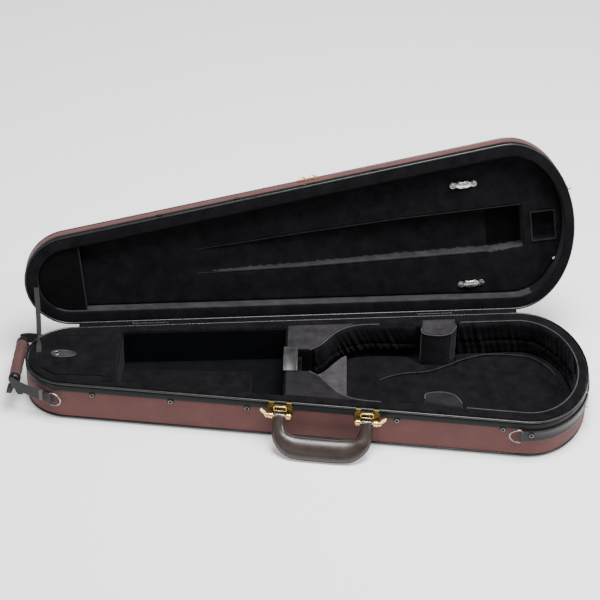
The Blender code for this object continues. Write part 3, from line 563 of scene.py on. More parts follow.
def band_piece(name, section, slot, body, node, wrinkle=0.0, size=26.0, material=None):
    """A ring of fabric or trim round the outline from a closed (inset, z) section."""
    loops = []
    for inset, z in section:
        loop = []
        for x, y in outline(inset):
            shift = ruffle((x, y, z * 1.6), size, wrinkle) if wrinkle else 0.0
            shrink = 1.0 - shift / BIG_HALF_WIDTH
            loop.append((BIG_X + (x - BIG_X) * shrink, y * shrink, z) if x > BIG_X else (x, y * shrink, z))
        loops.append(loop)
    return skin_piece(name, loops, slot, body, *node, closed=True, material=material)


def bowed(low, high, inset, bulge, back, steps=10, power=2):
    """Section of a panel that swells out between its edges, closed behind at the inset back."""
    front = []
    for k in range(steps + 1):
        t = k / steps
        front.append((inset - bulge * (1 - abs(2 * t - 1) ** power), low + (high - low) * t))
    return front + [(back, high), (back, low)]


def round_bead(inset, z, sides=14):
    turns = full_turn(sides)
    return [(inset + BEAD_RADIUS * cos(t), z + BEAD_RADIUS * sin(t)) for t in turns]


# ---- outer covers and trims -----------------------------------------------------------
def crown(inset):
    part = min(inset, CROWN_FLAT_INSET) / CROWN_FLAT_INSET
    return LID_CROWN * (1 - (1 - part) ** 3)


def lay_flat_weave(piece, lid=False):
    """Runs a panel's weave straight along the case, as cloth cut from one flat piece."""
    closing = opened().inverted() if lid else Matrix()
    layer = piece.data.uv_layers.active.data
    for loop in piece.data.loops:
        place = closing @ (piece.data.vertices[loop.vertex_index].co / MM)
        layer[loop.index].uv = (place.x * MM, place.y * MM)


def build_covers():
    """Fabric panels, vinyl bands and piping of both halves."""
    weave, vinyl = "burgundy_fabric", "black_trim"
    rim_bead = BASE_HEIGHT - BEAD_RADIUS
    covers = (
        ("base_side_fabric", "base_side_cover", bowed(5.9, 48.4, 1.0, 0.7, 2.2), weave, 0.35, None),
        ("base_band", "base_rim_band", bowed(48.7, 58.0, 0.6, 0.6, 2.2, 8, 4), vinyl, 0.0, None),
        ("base_rim_bead", "base_rim_piping", round_bead(BEAD_RADIUS, rim_bead), vinyl, 0.0, BEAD_VINYL),
        ("base_foot_bead", "base_bottom_piping", round_bead(1.9, 3.0), vinyl, 0.0, BEAD_VINYL),
        ("lid_side_fabric", "lid_side_cover", bowed(13.3, 30.6, 1.0, 0.6, 2.2), weave, 0.3, None),
        ("lid_band", "lid_rim_band", bowed(4.0, 13.0, 0.6, 0.6, 2.2, 8, 4), vinyl, 0.0, None),
        ("lid_rim_bead", "lid_rim_piping", round_bead(BEAD_RADIUS, BEAD_RADIUS), vinyl, 0.0, BEAD_VINYL),
        ("lid_top_bead", "lid_top_piping", round_bead(1.9, 32.7), vinyl, 0.0, BEAD_VINYL),
    )
    for name, node, section, slot, wrinkle, material in covers:
        band_piece(name, section, slot, name.split("_")[0], [node], wrinkle, material=material)

    bm = bmesh.new()
    levels = [(58, 0.35), (40, 0.25), (20, 0.1), (5.4, 0.0), (4.6, 0.15), (3.9, 0.6), (3.9, 1.0)]
    add_skin(bm, [[(x, y, z) for x, y in outline(inset)] for inset, z in levels])
    lay_flat_weave(to_object("base_bottom_fabric", bm, "burgundy_fabric", "base", "base_bottom_cover"))

    bm = bmesh.new()
    insets = [3.9 + (CROWN_FLAT_INSET - 3.9) * (k / 12) ** 1.3 for k in range(13)]
    under = [(i, LID_SIDE + crown(i) - 1.0) for i in insets[::-1]]
    over = [(i, LID_SIDE + crown(i)) for i in insets]
    add_skin(bm, [[(x, y, z) for x, y in outline(inset)] for inset, z in under + over])
    lay_flat_weave(to_object("lid_top_fabric", bm, "burgundy_fabric", "lid", "lid_top_cover"), lid=True)


def rivet_washer(bm, matrix):
    profile = [(4.1, 0.0), (4.2, 0.5), (3.9, 1.0), (2.9, 1.2), (2.1, 0.9), (1.4, 0.5), (0.1, 0.4)]
    add_skin(bm, lathe(profile, matrix))


def rivet_ring(bm, matrix):
    """The bright rolled edge inside a rivet's painted head."""
    turns = full_turn(8)
    add_skin(bm, lathe([(2.7 + 0.35 * cos(t), 1.0 + 0.35 * sin(t)) for t in turns], matrix), closed=True)


def build_rivets():
    """Rivets through the base's front wall and the lid's, and the studs at the big end."""
    face_out = Matrix.Rotation(pi / 2, 4, "X")
    front = [edge_frame(-1, s, 0.0, 46.0) @ face_out for s in BASE_RIVETS]
    front.append(edge_frame(-1, STRAP_STATION + 9, 2.2, STRAP_Z + 2) @ face_out)
    lid = [edge_frame(-1, s, 0.0, 8.5) @ face_out for s in LID_RIVETS]
    for body, spots in (("base", front), ("lid", lid)):
        washers, caps = bmesh.new(), bmesh.new()
        for spot in spots:
            rivet_washer(washers, spot)
            rivet_ring(caps, spot)
        to_object(f"{body}_rivet_washers", washers, "black_trim", body)
        to_object(f"{body}_rivet_rings", caps, "nickel", body, material=WORN_NICKEL)
    for body, z, bearing in (("base", 34.0, -24.0), ("lid", 19.0, -20.0)):
        stud = bmesh.new()
        spot = end_frame(BIG_X, BIG_HALF_WIDTH, END_SQUASH, bearing, 0.0, z) @ face_out
        profile = [(5.2, 0.0), (5.2, 0.8), (4.4, 1.6), (2.6, 2.0)]
        profile += [(2.4, 3.4), (3.4, 4.4), (3.2, 5.6), (0.1, 6.2)]
        add_skin(stud, lathe(profile, spot))
        to_object(f"{body}_end_stud", stud, "nickel", body)


# ---- softened velvet pieces --------------------------------------------------------------
def softened(node, name, voxel, passes, puff=0.0, grain=0.25, sink=0.0, material=None):
    """A fine rounded copy of a plain CAD foam piece, its surface gently uneven, in place of it.

    sink lowers its underside into the shell below, so that a thin floor outlasts the remesh.
    """
    source = NODES[node]
    made = bpy.data.objects.new(name, source.data.copy())
    bpy.context.scene.collection.objects.link(made)
    lowest = min(v.co.z for v in made.data.vertices)
    for vert in made.data.vertices:
        if sink and vert.co.z < lowest + 0.5 * MM:
            vert.co.z -= sink * MM
    remesh = made.modifiers.new("fine", "REMESH")
    remesh.mode = "VOXEL"
    remesh.voxel_size = voxel * MM
    rounded = made.modifiers.new("round", "SMOOTH")
    rounded.iterations = passes
    rounded.factor = 0.5
    depsgraph = bpy.context.evaluated_depsgraph_get()
    depsgraph.update()
    mesh = bpy.data.meshes.new_from_object(made.evaluated_get(depsgraph))
    made.modifiers.clear()
    made.data = mesh
    normals = [v.normal.copy() for v in mesh.vertices]
    for vert, normal in zip(mesh.vertices, normals):
        vert.co += normal * (puff + ruffle(vert.co / MM, 24.0, grain)) * MM
    mesh.shade_smooth()
    return settle(made, "black_velvet", source["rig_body"], node, material=material)


def paint_upward_light(piece, material, steep, low, end):
    """Gives the walls that look up in the open lid a paler velvet: painted light where the top lamp falls on
    them.

    steep is the least upward normal, low how deep in the lid a face starts, and end
    the greatest x.
    """
    piece.data.materials.append(material)
    paler = len(piece.data.materials) - 1
    closing = opened().inverted()
    for face in piece.data.polygons:
        place = closing @ (face.center / MM)
        if face.normal.z > steep and place.z > low and place.x < end:
            face.material_index = paler


def darken_pit(pad):
    """Painted shade at the deep end of the bow channel: its faces get a near-black velvet."""
    pad.data.materials.append(DEEP_SHADE_VELVET)
    deepest = len(pad.data.materials) - 1
    closing = opened().inverted()
    for face in pad.data.polygons:
        if (closing @ (face.center / MM)).z > PIT_DEPTH - 1.2:
            face.material_index = deepest


def build_velvet():
    softened("base_liner", "base_velvet_liner", 2.2, 4, sink=3.4)
    pad = softened("lid_pad", "lid_velvet_pad", 2.2, 4)
    # Painted light and shade: the pad's walls that look up get a paler velvet, and the pit at the channel's
    # deep end a near-black one.
    paint_upward_light(pad, LIT_VELVET, 0.45, PAD_DEPTH + 0.7, 326)
    darken_pit(pad)
    softened("cavity_floor", "cavity_velvet_floor", 1.8, 4)
    # In the material column, the heel pad's pale velvet and the waist blocks' mid velvet are painted light;
    # the bow tip pocket's near-black velvet is partly that cloth's own darker colour and partly painted
    # shade.
    pads = (
        ("heel_pad", "heel_velvet_pad", 1.3, 6, 0.3, PALE_VELVET, 0.7),
        ("divider_board", "velvet_divider", 1.3, 4, 0.0, None, 0.8),
        ("neck_cradle", "neck_velvet_cradle", 1.3, 5, 0.0, None, 0.8),
        ("compartment_floor_pad", "compartment_velvet_pad", 1.3, 6, 0.2, None, 0.7),
        ("waist_block_back", "waist_velvet_block_back", 1.3, 8, 0.3, BLOCK_VELVET, 0.8),
        ("waist_block_front", "waist_velvet_block_front", 1.3, 8, 0.3, BLOCK_VELVET, 0.8),
        ("accessory_lid", "accessory_velvet_lid", 0.9, 4, 0.1, None, 0.6),
        ("bow_tip_pocket", "bow_tip_velvet_pocket", 0.8, 3, 0.0, DEEP_SHADE_VELVET, 0.4),
    )
    for node, name, voxel, passes, puff, material, fill in pads:
        softened(node, name, voxel, passes, puff=puff, material=material)


def build_lid_liner():
    """The velvet flange and wall inside the lid's rim, with soft rolled edges."""
    top = LID_SIDE + crown(8) - 1.6 - 0.6 - 3.2
    face = 0.4
    turns = [pi / 2 * k / 5 for k in range(6)]
    outer = [(3.7 + 1.2 * (1 - cos(t)), face + 1.2 * (1 - sin(t))) for t in turns]
    inner = [(19.4 - 2.4 * (1 - sin(t)), face + 2.4 * (1 - cos(t))) for t in turns]
    behind = [(19.4, 12), (19.4, top), (9.5, top), (6.2, 26.5), (6.2, 3.3)]
    section = [(3.7, 3.3), *outer, (11, face), *inner, *behind]
    liner = band_piece("lid_velvet_liner", section, "black_velvet", "lid", ["lid_liner"], 0.3, 40.0)
    # Painted light: the liner's faces that look up get the paler velvet.
    paint_upward_light(liner, LIT_VELVET, 0.86, 2.0, LENGTH / 2)


def gathers(s, seed, pitch=11.0):
    """Height from 0 to 1 of irregular pleats at a distance s along a wall."""
    warped = s + 9.0 * noise.noise(Vector((s / 37.0, seed, 0.0)))
    ridge = 0.5 + 0.5 * sin(2 * pi * warped / pitch)
    second = 0.5 + 0.5 * sin(2 * pi * warped / (pitch * 1.7) + seed)
    return 0.7 * ridge**0.7 + 0.3 * second


def gathered_wall(line, low, high, seams, seed, strength, lean=0.0):
    """A padded velvet wall along a plan line: rolls between seams, pinched into pleats at each seam."""
    line = even_line(line, 1.3)
    rights = right_normals(line)
    rolls = list(zip([low, *seams], [*seams, high]))
    heights = []
    for bottom, top in rolls:
        heights += [bottom + (top - bottom) * k / 12 for k in range(12)]
    heights.append(high)
    loops = []
    at = 0.0
    for i, ((x, y), (nx, ny)) in enumerate(zip(line, rights)):
        if i:
            at += hypot(x - line[i - 1][0], y - line[i - 1][1])
        loop = []
        for z in heights:
            bottom, top = next((b, t) for b, t in rolls if z <= t)
            part = (z - bottom) / (top - bottom)
            roll = sqrt(max(0.0, 1 - (2 * part - 1) ** 2))
            pinch = max(1 - abs(z - seam) / 20.0 for seam in [*seams, low])
            patch = max(0.15, 0.75 + 1.3 * noise.noise(Vector((at / 48.0, seed, 3.0))))
            pleat = gathers(at + lean * (z - low), seed) * max(0.3, pinch) * patch
            soft = ruffle((x, y, z), 17.0, 1.0)
            depth = 2.4 + 4.4 * roll**0.75 + strength * (pleat - 0.4) + soft
            depth = min(9.0, max(0.8, depth))
            loop.append((x + nx * depth, y + ny * depth, z))
        loop.append((x + nx * SNUG, y + ny * SNUG, high))
        loop.append((x + nx * SNUG, y + ny * SNUG, low))
        loops.append(loop)
    bm = bmesh.new()
    add_skin(bm, loops)
    return bm


def finish_wall(bm, place):
    names = (f"gathered_wall_{place}", bm, "black_velvet", "base", f"suspension_{place}")
    to_object(*names, smooth=80)


def build_gathered_walls():
    """Suspension walls: one roll round each upper bout, two puffed rows round the lower bout."""
    line = [p for p in upper_bout_line() if p[0] > 8][:-1]
    top, ledge, floor = BASE_HEIGHT - 1.2, 20.6, 5.9
    upper = gathered_wall(line, ledge, top, [31.0], 3.1, 5.0, 0.55)
    finish_wall(upper, "back")
    lower = gathered_wall(line, ledge, top, [31.0], 5.7, 5.0, 0.55)
    bmesh.ops.scale(lower, vec=(1, -1, 1), verts=lower.verts)
    finish_wall(lower, "front")

    waist_x = 217.0
    ends = (waist_x, side_y(waist_x, CAVITY_INSET))
    around = [(ends[0], -ends[1]), *big_arc(CAVITY_INSET), ends]
    inward = [(x, y) for x, y in around[::-1]]
    wall = gathered_wall(inward, floor, top, [30.0], 8.3, 5.6, 0.25)
    for vert in wall.verts:
        vert.co.x = min(vert.co.x, LOWER_WALL_END * MM)
    finish_wall(wall, "lower")


# ---- handle, latches and grip ---------------------------------------------------------------
def handle_path(steps):
    half = (ARM_CENTRES[1] - ARM_CENTRES[0]) / 2
    wide = GRIP_HALF_DEPTH
    grip = HANDLE_REACH - wide
    left = [(-half, 0.9, 7.2), (-half, 15, 8.2), (-half + 5, 30, 11), (-half + 18, grip - 2.5, 14.2)]
    middle = [(-half + 34, grip, wide), (0, grip + 0.3, wide), (half - 34, grip, wide)]
    return smooth_line(left + middle + [(-u, v, w) for u, v, w in left[::-1]], steps)


def handle_frame():
    tilt = Matrix.Rotation(radians(-HANDLE_TILT), 4, "X")
    return edge_frame(-1, sum(ARM_CENTRES) / 2, PIVOT_OUT, PIVOT_Z) @ tilt


def across(path, i):
    """Unit vector across a handle path at a point, to its outer edge."""
    u0, v0, _ = path[max(i - 1, 0)]
    u1, v1, _ = path[min(i + 1, len(path) - 1)]
    size = hypot(u1 - u0, v1 - v0)
    return (v1 - v0) / size, -(u1 - u0) / size


def build_handle():
    """A folded and stitched leather grip, plump in the middle and flat at its arms."""
    path = handle_path(9)
    turns = full_turn(32)
    loops, seam = [], []
    for i, (u, v, w) in enumerate(path):
        side_u, side_v = across(path, i)
        thick = 5.0 + 1.5 * min(1.0, max(0.0, (w - 8.0) / 3.0))
        loop = []
        for t in turns:
            reach, lift = cos(t), sin(t)
            edge = abs(reach) ** 3
            groove = 0.5 * max(0.0, 1 - abs(abs(reach) - 0.80) / 0.06)
            high = (thick - groove) * (1 if lift > 0 else -1) * abs(lift) ** 0.75 * (1 - 0.15 * edge)
            loop.append((u + w * reach * side_u, high, -(v + w * reach * side_v)))
        loops.append(loop)
        seam.append((u, v, w, side_u, side_v, thick))
    placed = handle_frame()
    skin = moved(loops, placed)
    skin_piece("leather_handle", skin, "brown_leather", "carry_handle", "carry_handle", smooth=60)

    bm = bmesh.new()
    for reach in (-0.985, 0.985):
        edge = []
        for u, v, w, side_u, side_v, thick in seam:
            edge.append(placed @ Vector((u + w * reach * side_u, 0, -(v + w * reach * side_v))))
        welt(bm, edge[4:-4], 1.15, 10)
    to_object("handle_edge_piping", bm, "brown_leather", "carry_handle", smooth=60, material=EDGE_LEATHER)

    bm = bmesh.new()
    for reach in (-0.80, 0.80):
        for face in (-1, 1):
            for a, b in zip(seam[::2], seam[1::2]):
                if a[2] < 8.0:
                    continue
                ends = []
                for u, v, w, side_u, side_v, thick in (a, b):
                    high = face * (thick * (1 - reach * reach) ** 0.375 * (1 - 0.15 * abs(reach) ** 3) - 0.1)
                    ends.append(placed @ Vector((u + w * reach * side_u, high, -(v + w * reach * side_v))))
                stitch = [ends[0].lerp(ends[1], part) for part in (0.08, 0.3, 0.7, 0.92)]
                add_skin(bm, tube(stitch, 0.38, 6))
    to_object("handle_stitches", bm, "brown_leather", "carry_handle", material=THREAD)


def closed_tube(bm, path, radius, sides=10):
    """A round wire along a closed flat path."""
    count = len(path)
    origin = Vector(path[0])
    normal = (Vector(path[1]) - origin).cross(Vector(path[count // 3]) - origin).normalized()
    loops = []
    for i in range(count):
        ahead = (Vector(path[(i + 1) % count]) - Vector(path[i - 1])).normalized()
        side = ahead.cross(normal)
        turns = full_turn(sides)
        loops.append([Vector(path[i]) + side * radius * cos(t) + normal * radius * sin(t) for t in turns])
    add_skin(bm, loops, closed=True)


def rounded_rect(half_u, half_v, radius, steps=4):
    """Anticlockwise rectangle with round corners about the origin."""
    made = []
    for cu, cv, start in ((1, 1, 0.0), (-1, 1, 0.5), (-1, -1, 1.0), (1, -1, 1.5)):
        for k in range(steps + 1):
            t = pi * (start + 0.5 * k / steps)
            made.append((cu * (half_u - radius) + radius * cos(t), cv * (half_v - radius) + radius * sin(t)))
    return made


def add_rim_clip(bm, placed, u):
    """A strip bent over the rim bead."""
    clip = []
    for k in range(9):
        t = pi * (-0.35 + 1.15 * k / 8)
        out = 1.0 + 2.35 * cos(t)
        clip.append((u, 2.0 - out - 0.9, 60.1 + 1.98 * sin(t)))
    clip = [(u, -1.5, 55.5)] + clip[1:]
    loops = []
    for i, point in enumerate(clip):
        half = 3.7 - 0.12 * abs(i - 4)
        x, y, z = point
        corners = ((-1, -1), (0, -1.3), (1, -1), (1, 1), (0, 1.3), (-1, 1))
        loops.append([(x + a * half, y + b * 0.35, z + b * 0.15) for a, b in corners])
    add_skin(bm, moved(loops, placed))


def build_bracket(side, centre):
    """A plate with clips over the rim bead, and the two round knuckles that hold the pin."""
    placed = edge_frame(-1, centre, 0, 0)
    stand = placed @ Matrix.Translation((0, -0.35, 49.6)) @ Matrix.Rotation(pi / 2, 4, "X")
    bm = bmesh.new()
    add_skin(bm, moved(block_loops(rounded_rect(17.5, 8.6, 2.5), 0.0, 1.3, 0.4), stand))
    for u in (-BARREL_AT, BARREL_AT):
        add_rim_clip(bm, placed, u)
    # The plate and its clips are in darkened brass, a painted dark reflection.
    to_object(f"bracket_plate_{side}", bm, "brass", "base", f"handle_bracket_{side}", material=DARK_BRASS)

    bm = bmesh.new()
    window = [placed @ Vector((u, -2.4, 51.8 + v)) for u, v in rounded_rect(8.4, 3.5, 1.3)]
    closed_tube(bm, window, 0.95)
    for u in (-8.4, 8.4):
        foot = [placed @ Vector((u, y, 50.5)) for y in (-0.6, -1.2, -1.8, -2.4)]
        add_skin(bm, tube(foot, 0.95, 8))
    to_object(f"bracket_window_{side}", bm, "brass", "base")

    bm = bmesh.new()
    for u in (-BARREL_AT, BARREL_AT):
        spin = placed @ Matrix.Translation((u, -PIVOT_OUT, PIVOT_Z)) @ Matrix.Rotation(pi / 2, 4, "Y")
        profile = [(1.8, -3.5), (3.2, -3.5), (4.1, -2.9), (4.3, -2.0), (4.2, -0.5), (3.7, 0.0)]
        profile += [(r, -z) for r, z in profile[:-1][::-1]]
        add_skin(bm, lathe(profile, spin))
        post = placed @ Matrix.Translation((u, -1.4, PIVOT_Z)) @ Matrix.Rotation(pi / 2, 4, "X")
        add_skin(bm, moved(block_loops(rounded_rect(2.9, 2.6, 0.8), 0.0, 5.6, 0.3), post))
    to_object(f"bracket_knuckles_{side}", bm, "brass", "base")


def build_lever(side, centre, outward):
    """A flat oval thumb lever on a round hub at the pin's outer end."""
    placed = edge_frame(-1, centre + outward * LEVER_AT, PIVOT_OUT, PIVOT_Z)
    hub = placed @ Matrix.Rotation(pi / 2, 4, "Y")
    bm = bmesh.new()
    add_skin(bm, lathe([(0.1, -2.0), (2.8, -1.9), (3.4, -1.1), (3.4, 1.1), (2.8, 1.9), (0.1, 2.0)], hub))
    ahead = Vector((outward * 0.62, -0.05, 0.80)).normalized()
    flat = Vector((outward * -0.80, 0.10, 0.60))
    flat = (flat - ahead * flat.dot(ahead)).normalized()
    thin = ahead.cross(flat)
    loops = []
    for k in range(17):
        t = k / 16
        reach = 1.0 + 13.0 * t
        wide = 1.4 + 1.35 * max(0.0, sin(pi * min(1.0, max(0.0, (t - 0.15) / 0.85)))) ** 0.7
        wide *= 1.0 if t < 0.97 else 0.55
        thick = 1.3 - 0.35 * sin(pi * t)
        turns = full_turn(14)
        loops.append([ahead * reach + flat * wide * cos(a) + thin * thick * sin(a) for a in turns])
    add_skin(bm, moved(loops, placed))
    to_object(f"thumb_lever_{side}", bm, "brass", f"latch_lever_{side}", f"latch_lever_{side}", smooth=60)


def build_arm_caps():
    """The bright cap on each arm's end, through which the bracket's pin runs."""
    placed = handle_frame()
    middle = sum(ARM_CENTRES) / 2
    for side, centre in zip(("left", "right"), ARM_CENTRES):
        spot = placed @ Matrix.Translation((centre - middle, 0, -1.4))
        bm = bmesh.new()
        add_skin(bm, moved(block_loops(rounded_rect(7.7, 4.6, 1.8), 0.0, 3.4, 1.0, 5), spot))
        loop = f"handle_loop_{side}"
        to_object(f"handle_cap_{side}", bm, "brass", "carry_handle", loop, material=WORN_NICKEL)


def build_ring(side, placed, reach_sign):
    """A steel D ring and the folded webbing tab that holds its straight leg."""
    turns = [pi / 2 - pi * k / 20 for k in range(21)]
    bow = [(reach_sign * (1.5 + (RING_REACH - 1.5) * cos(t)), 0, RING_HALF_HEIGHT * sin(t)) for t in turns]
    leg = [(0, 0, RING_HALF_HEIGHT * (k / 5 - 1)) for k in range(1, 10)]
    bm = bmesh.new()
    closed_tube(bm, [placed @ Vector(p) for p in leg + bow], 0.95)
    to_object(f"steel_d_ring_{side}", bm, "nickel", f"d_ring_{side}", f"d_ring_{side}", material=WORN_NICKEL)

    section = []
    for k in range(13):
        t = -0.5 * pi + pi * (1.0 + 0.35) * k / 12
        section.append((reach_sign * 2.9 * cos(t), 2.9 * sin(t)))
    back = -reach_sign * 11.0
    section += [(back, 3.1), (back, 1.6), (-reach_sign * 3.0, 0.2)]
    section[0] = (0.0, -2.9)
    loops = [[(u, v, z) for u, v in section] for z in (-8.0, -7.4, -4.0, 0.0, 4.0, 7.4, 8.0)]
    skin = moved(loops, placed)
    skin_piece(f"ring_tab_{side}", skin, "black_webbing", "base", f"ring_loop_{side}", smooth=50)


def build_rings():
    build_ring("right", edge_frame(-1, STRAP_STATION - 4.4, RING_OUT, STRAP_Z), -1)
    bearing = end_frame(SMALL_X, SMALL_RADIUS, 1.0, RING_BEARING, RING_OUT, GRIP_HINGE.z - 3)
    build_ring("left", bearing, 1)


def build_end_strap():
    """Leather strap round the big end, turned in at its edges and stitched along both."""
    start = edge_frame(-1, STRAP_STATION, 0, 0).translation.x
    path = even_line([(start, -side_y(start, 0)), *big_arc(0)[1:-1], (start, side_y(start, 0))], 3.0)
    rights = right_normals(path)
    half = STRAP_HALF_WIDTH
    section = [(0.4, half), (1.6, half), (2.1, half - 0.6), (2.2, half - 2), (1.8, half - 2.6)]
    section += [(1.8, 0), (1.8, 2.6 - half), (2.2, 2 - half), (2.1, 0.6 - half), (1.6, -half), (0.4, -half)]
    loops = []
    for (x, y), (nx, ny) in zip(path, rights):
        loops.append([(x + nx * out, y + ny * out, STRAP_Z + z) for out, z in section])
    skin_piece("leather_end_strap", loops, "black_webbing", "base", "big_end_strap", material=STRAP_LEATHER)
    bm = bmesh.new()
    for z in (half - 3.4, 3.4 - half):
        for (x0, y0), (x1, y1), (nx, ny) in zip(path[::1], path[1:], rights):
            a = Vector((x0 + nx * 1.9, y0 + ny * 1.9, STRAP_Z + z))
            b = Vector((x1 + nx * 1.9, y1 + ny * 1.9, STRAP_Z + z))
            add_skin(bm, tube([a.lerp(b, t) for t in (0.1, 0.3, 0.7, 0.9)], 0.3, 6))
    to_object("end_strap_stitches", bm, "black_webbing", "base", material=THREAD)


def build_grip():
    """Fabric roll with leather sleeves, webbing arms back to the case, and the tails hanging below."""
    half = GRIP_HALF_LENGTH
    placed = Matrix.Translation(GRIP_HINGE + ROLL_FROM_HINGE) @ Matrix.Rotation(pi / 2, 4, "X")
    profile = []
    for k in range(33):
        z = half - 5.0 - (2 * half - 10.0) * k / 32
        fold = 0.22 * sin(z * 0.9) + 0.2 * sin(z * 0.37)
        profile.append((7.6 + 0.7 * cos(pi * z / (2 * half)) + fold, z))
    bm = bmesh.new()
    add_skin(bm, lathe(profile[::-1], placed, 32))
    roll = ("padded_grip_roll", bm, "burgundy_fabric", "end_grip", "grip_roll")
    # Painted shade: the roll gets a darker copy of the burgundy weave because it faces up into the top lamp.
    to_object(*roll, smooth=60, material=GRIP_FABRIC)

    bm = bmesh.new()
    for sign in (-1, 1):
        sleeve = [(0.2, half), (5.6, half), (7.6, half - 1.2)]
        sleeve += [(8.5, half - 3.5), (8.6, half - 8.5), (7.4, half - 9.2)]
        loops = lathe([(r, sign * z) for r, z in sleeve], placed, 32)
        add_skin(bm, loops)
    to_object("grip_sleeves", bm, "black_webbing", "end_grip", material=STRAP_LEATHER)

    bm = bmesh.new()
    middle = GRIP_HINGE + ROLL_FROM_HINGE
    for flip in (-1, 1):
        for lean, long in ((-0.35, 15.0), (0.30, 17.0)):
            loops = []
            for k in range(9):
                t = k / 8
                x = middle.x + 10.0 * lean + lean * long * t
                z = middle.z - 5.5 - long * t
                y = middle.y + flip * (half - 0.5 + 2.5 * sin(pi * t * 0.8))
                wide = 4.4 * (1 - 0.25 * t**3)
                corners = ((-1, -1), (0, -1), (1, -1), (1, 1), (0, 1), (-1, 1))
                loops.append([(x + a * wide, y + b * 0.8, z + 0.3 * a * lean * wide) for a, b in corners])
            add_skin(bm, loops)
    to_object("grip_tails", bm, "black_webbing", "end_grip")

    arm = smooth_line([(0, 62.2), (-8, 61.2), (-24, 58.5), (-36, 54.5), (-45, 49)], 8)
    rights = right_normals(arm)
    for name, flip in (("back", 1), ("front", -1)):
        loops = []
        for (x, y), (nx, ny) in zip(arm, rights):
            rise = ROLL_FROM_HINGE.z * min(1.0, max(0.0, x / ROLL_FROM_HINGE.x))
            edge = [(-1.0, -8.0), (-1.1, 0), (-1.0, 8.0), (-0.6, 8.3), (0.6, 8.3)]
            edge += [(1.0, 8.0), (1.1, 0), (1.0, -8.0), (0.6, -8.3), (-0.6, -8.3)]
            loops.append([(x + nx * a, flip * (y + ny * a), rise + z) for a, z in edge])
        skin = moved(loops, Matrix.Translation(GRIP_HINGE))
        skin_piece(f"grip_arm_{name}", skin, "black_webbing", "end_grip", f"grip_webbing_{name}")
        bm = bmesh.new()
        bound = []
        for (x, y), (nx, ny) in list(zip(arm, rights))[1:7]:
            turns = full_turn(24)
            round_edge = [(1.6 * cos(t), 8.8 * sin(t)) for t in turns]
            square = [(max(-1.5, min(1.5, 2.2 * a)), max(-8.6, min(8.6, 1.3 * z))) for a, z in round_edge]
            bound.append([(x + nx * a, flip * (y + ny * a), z) for a, z in square])
        add_skin(bm, moved(bound, Matrix.Translation(GRIP_HINGE)))
        to_object(f"arm_binding_{name}", bm, "black_webbing", "end_grip", material=BINDING)


# ---- small things in the base -----------------------------------------------------------------
def welt(bm, points, radius=0.9, sides=8):
    add_skin(bm, tube(points, radius, sides))


def lifted(points, z):
    return [(x, y, z) for x, y in points]


def mirrored(points):
    return [(x, -y) for x, y in points]


def build_base_welts():
    """Fine seam welts round the hollow's edge, on the waist blocks and along the violin's bed, in paler
    velvet as painted highlights where these edges catch the light.
    """
    x_end, top = 216.0, BASE_HEIGHT - 0.45
    inset = CAVITY_INSET + 0.8
    upper = [(x, y + 0.6) for x, y in upper_bout_line()]
    bm = bmesh.new()
    back = even_line(upper[:-6], 4.0)
    welt(bm, lifted(back, top))
    welt(bm, lifted(mirrored(back), top))
    lower = [(x_end + 4, -side_y(x_end + 4, inset)), *big_arc(inset), (x_end + 4, side_y(x_end + 4, inset))]
    welt(bm, lifted(even_line(lower, 4.0), top))
    block = smooth_line([(163.5, 80), (165, 70), (175, 65.5), (192, 65), (206, 72), (214, 88)], 5)
    for line in (block, mirrored(block)):
        welt(bm, lifted(line, top))
    welt(bm, [(206.6, 72.6, z) for z in (14, 28, 40, 52, 61.8)], 0.8)
    # The welts are in a light velvet: painted highlights along the edges.
    to_object("base_welts", bm, "black_velvet", "base", material=LIT_WELT_VELVET)

    bm = bmesh.new()
    bed = smooth_line([(93, 0), (100, 20), (134, 38), (177, 46), (221, 72), (255, 87), (285, 89)], 6)
    end = [(BIG_X + 60 * cos(pi / 2 - pi * k / 24), 88 * sin(pi / 2 - pi * k / 24)) for k in range(1, 9)]
    ridge = even_line(bed[7:] + end, 4.0)
    count = len(ridge) - 1
    welt(bm, [(x, y, 10.6 + 1.5 * sin(pi * k / count) ** 0.5) for k, (x, y) in enumerate(ridge)], 0.9)
    # Painted highlight: the bed's ridge is drawn in the paler velvet.
    to_object("bed_ridge", bm, "black_velvet", "base", material=LIT_VELVET)


def build_painted_light_facings():
    """Paler velvet facings beside the neck slot and over the back waist block, painted light on these lit
    tops; the facing in front of the neck slot is a dimmer copy.
    """
    top = BASE_HEIGHT - 0.6
    edge = even_line([p for p in upper_bout_line() if p[0] < 66], 5.0)
    back = [(66, side_y(66, 16.5)), (-27.5, side_y(-27.5, 16.5))]
    beside = [(-27.5, NECK_HALF_WIDTH + 1.5)] + [(x - 1.5, y + 1.5) for x, y in edge] + back
    block = smooth_line([(165.5, 78), (166.8, 71), (176, 67.2), (192, 66.7), (204.8, 73), (212, 86)], 5)
    block += [(212, side_y(212, 14)), (165.5, side_y(165.5, 14))]
    facings = (
        ("neck_side_facing_back", beside, 0.9, LIT_VELVET),
        ("neck_side_facing_front", mirrored(beside), 0.9, BLOCK_VELVET),
        ("waist_block_facing", block, 1.3, LIT_VELVET),
    )
    for name, plan, thick, material in facings:
        skin = [lifted(plan, top), lifted(plan, top + thick)]
        skin_piece(name, skin, "black_velvet", "base", material=material)


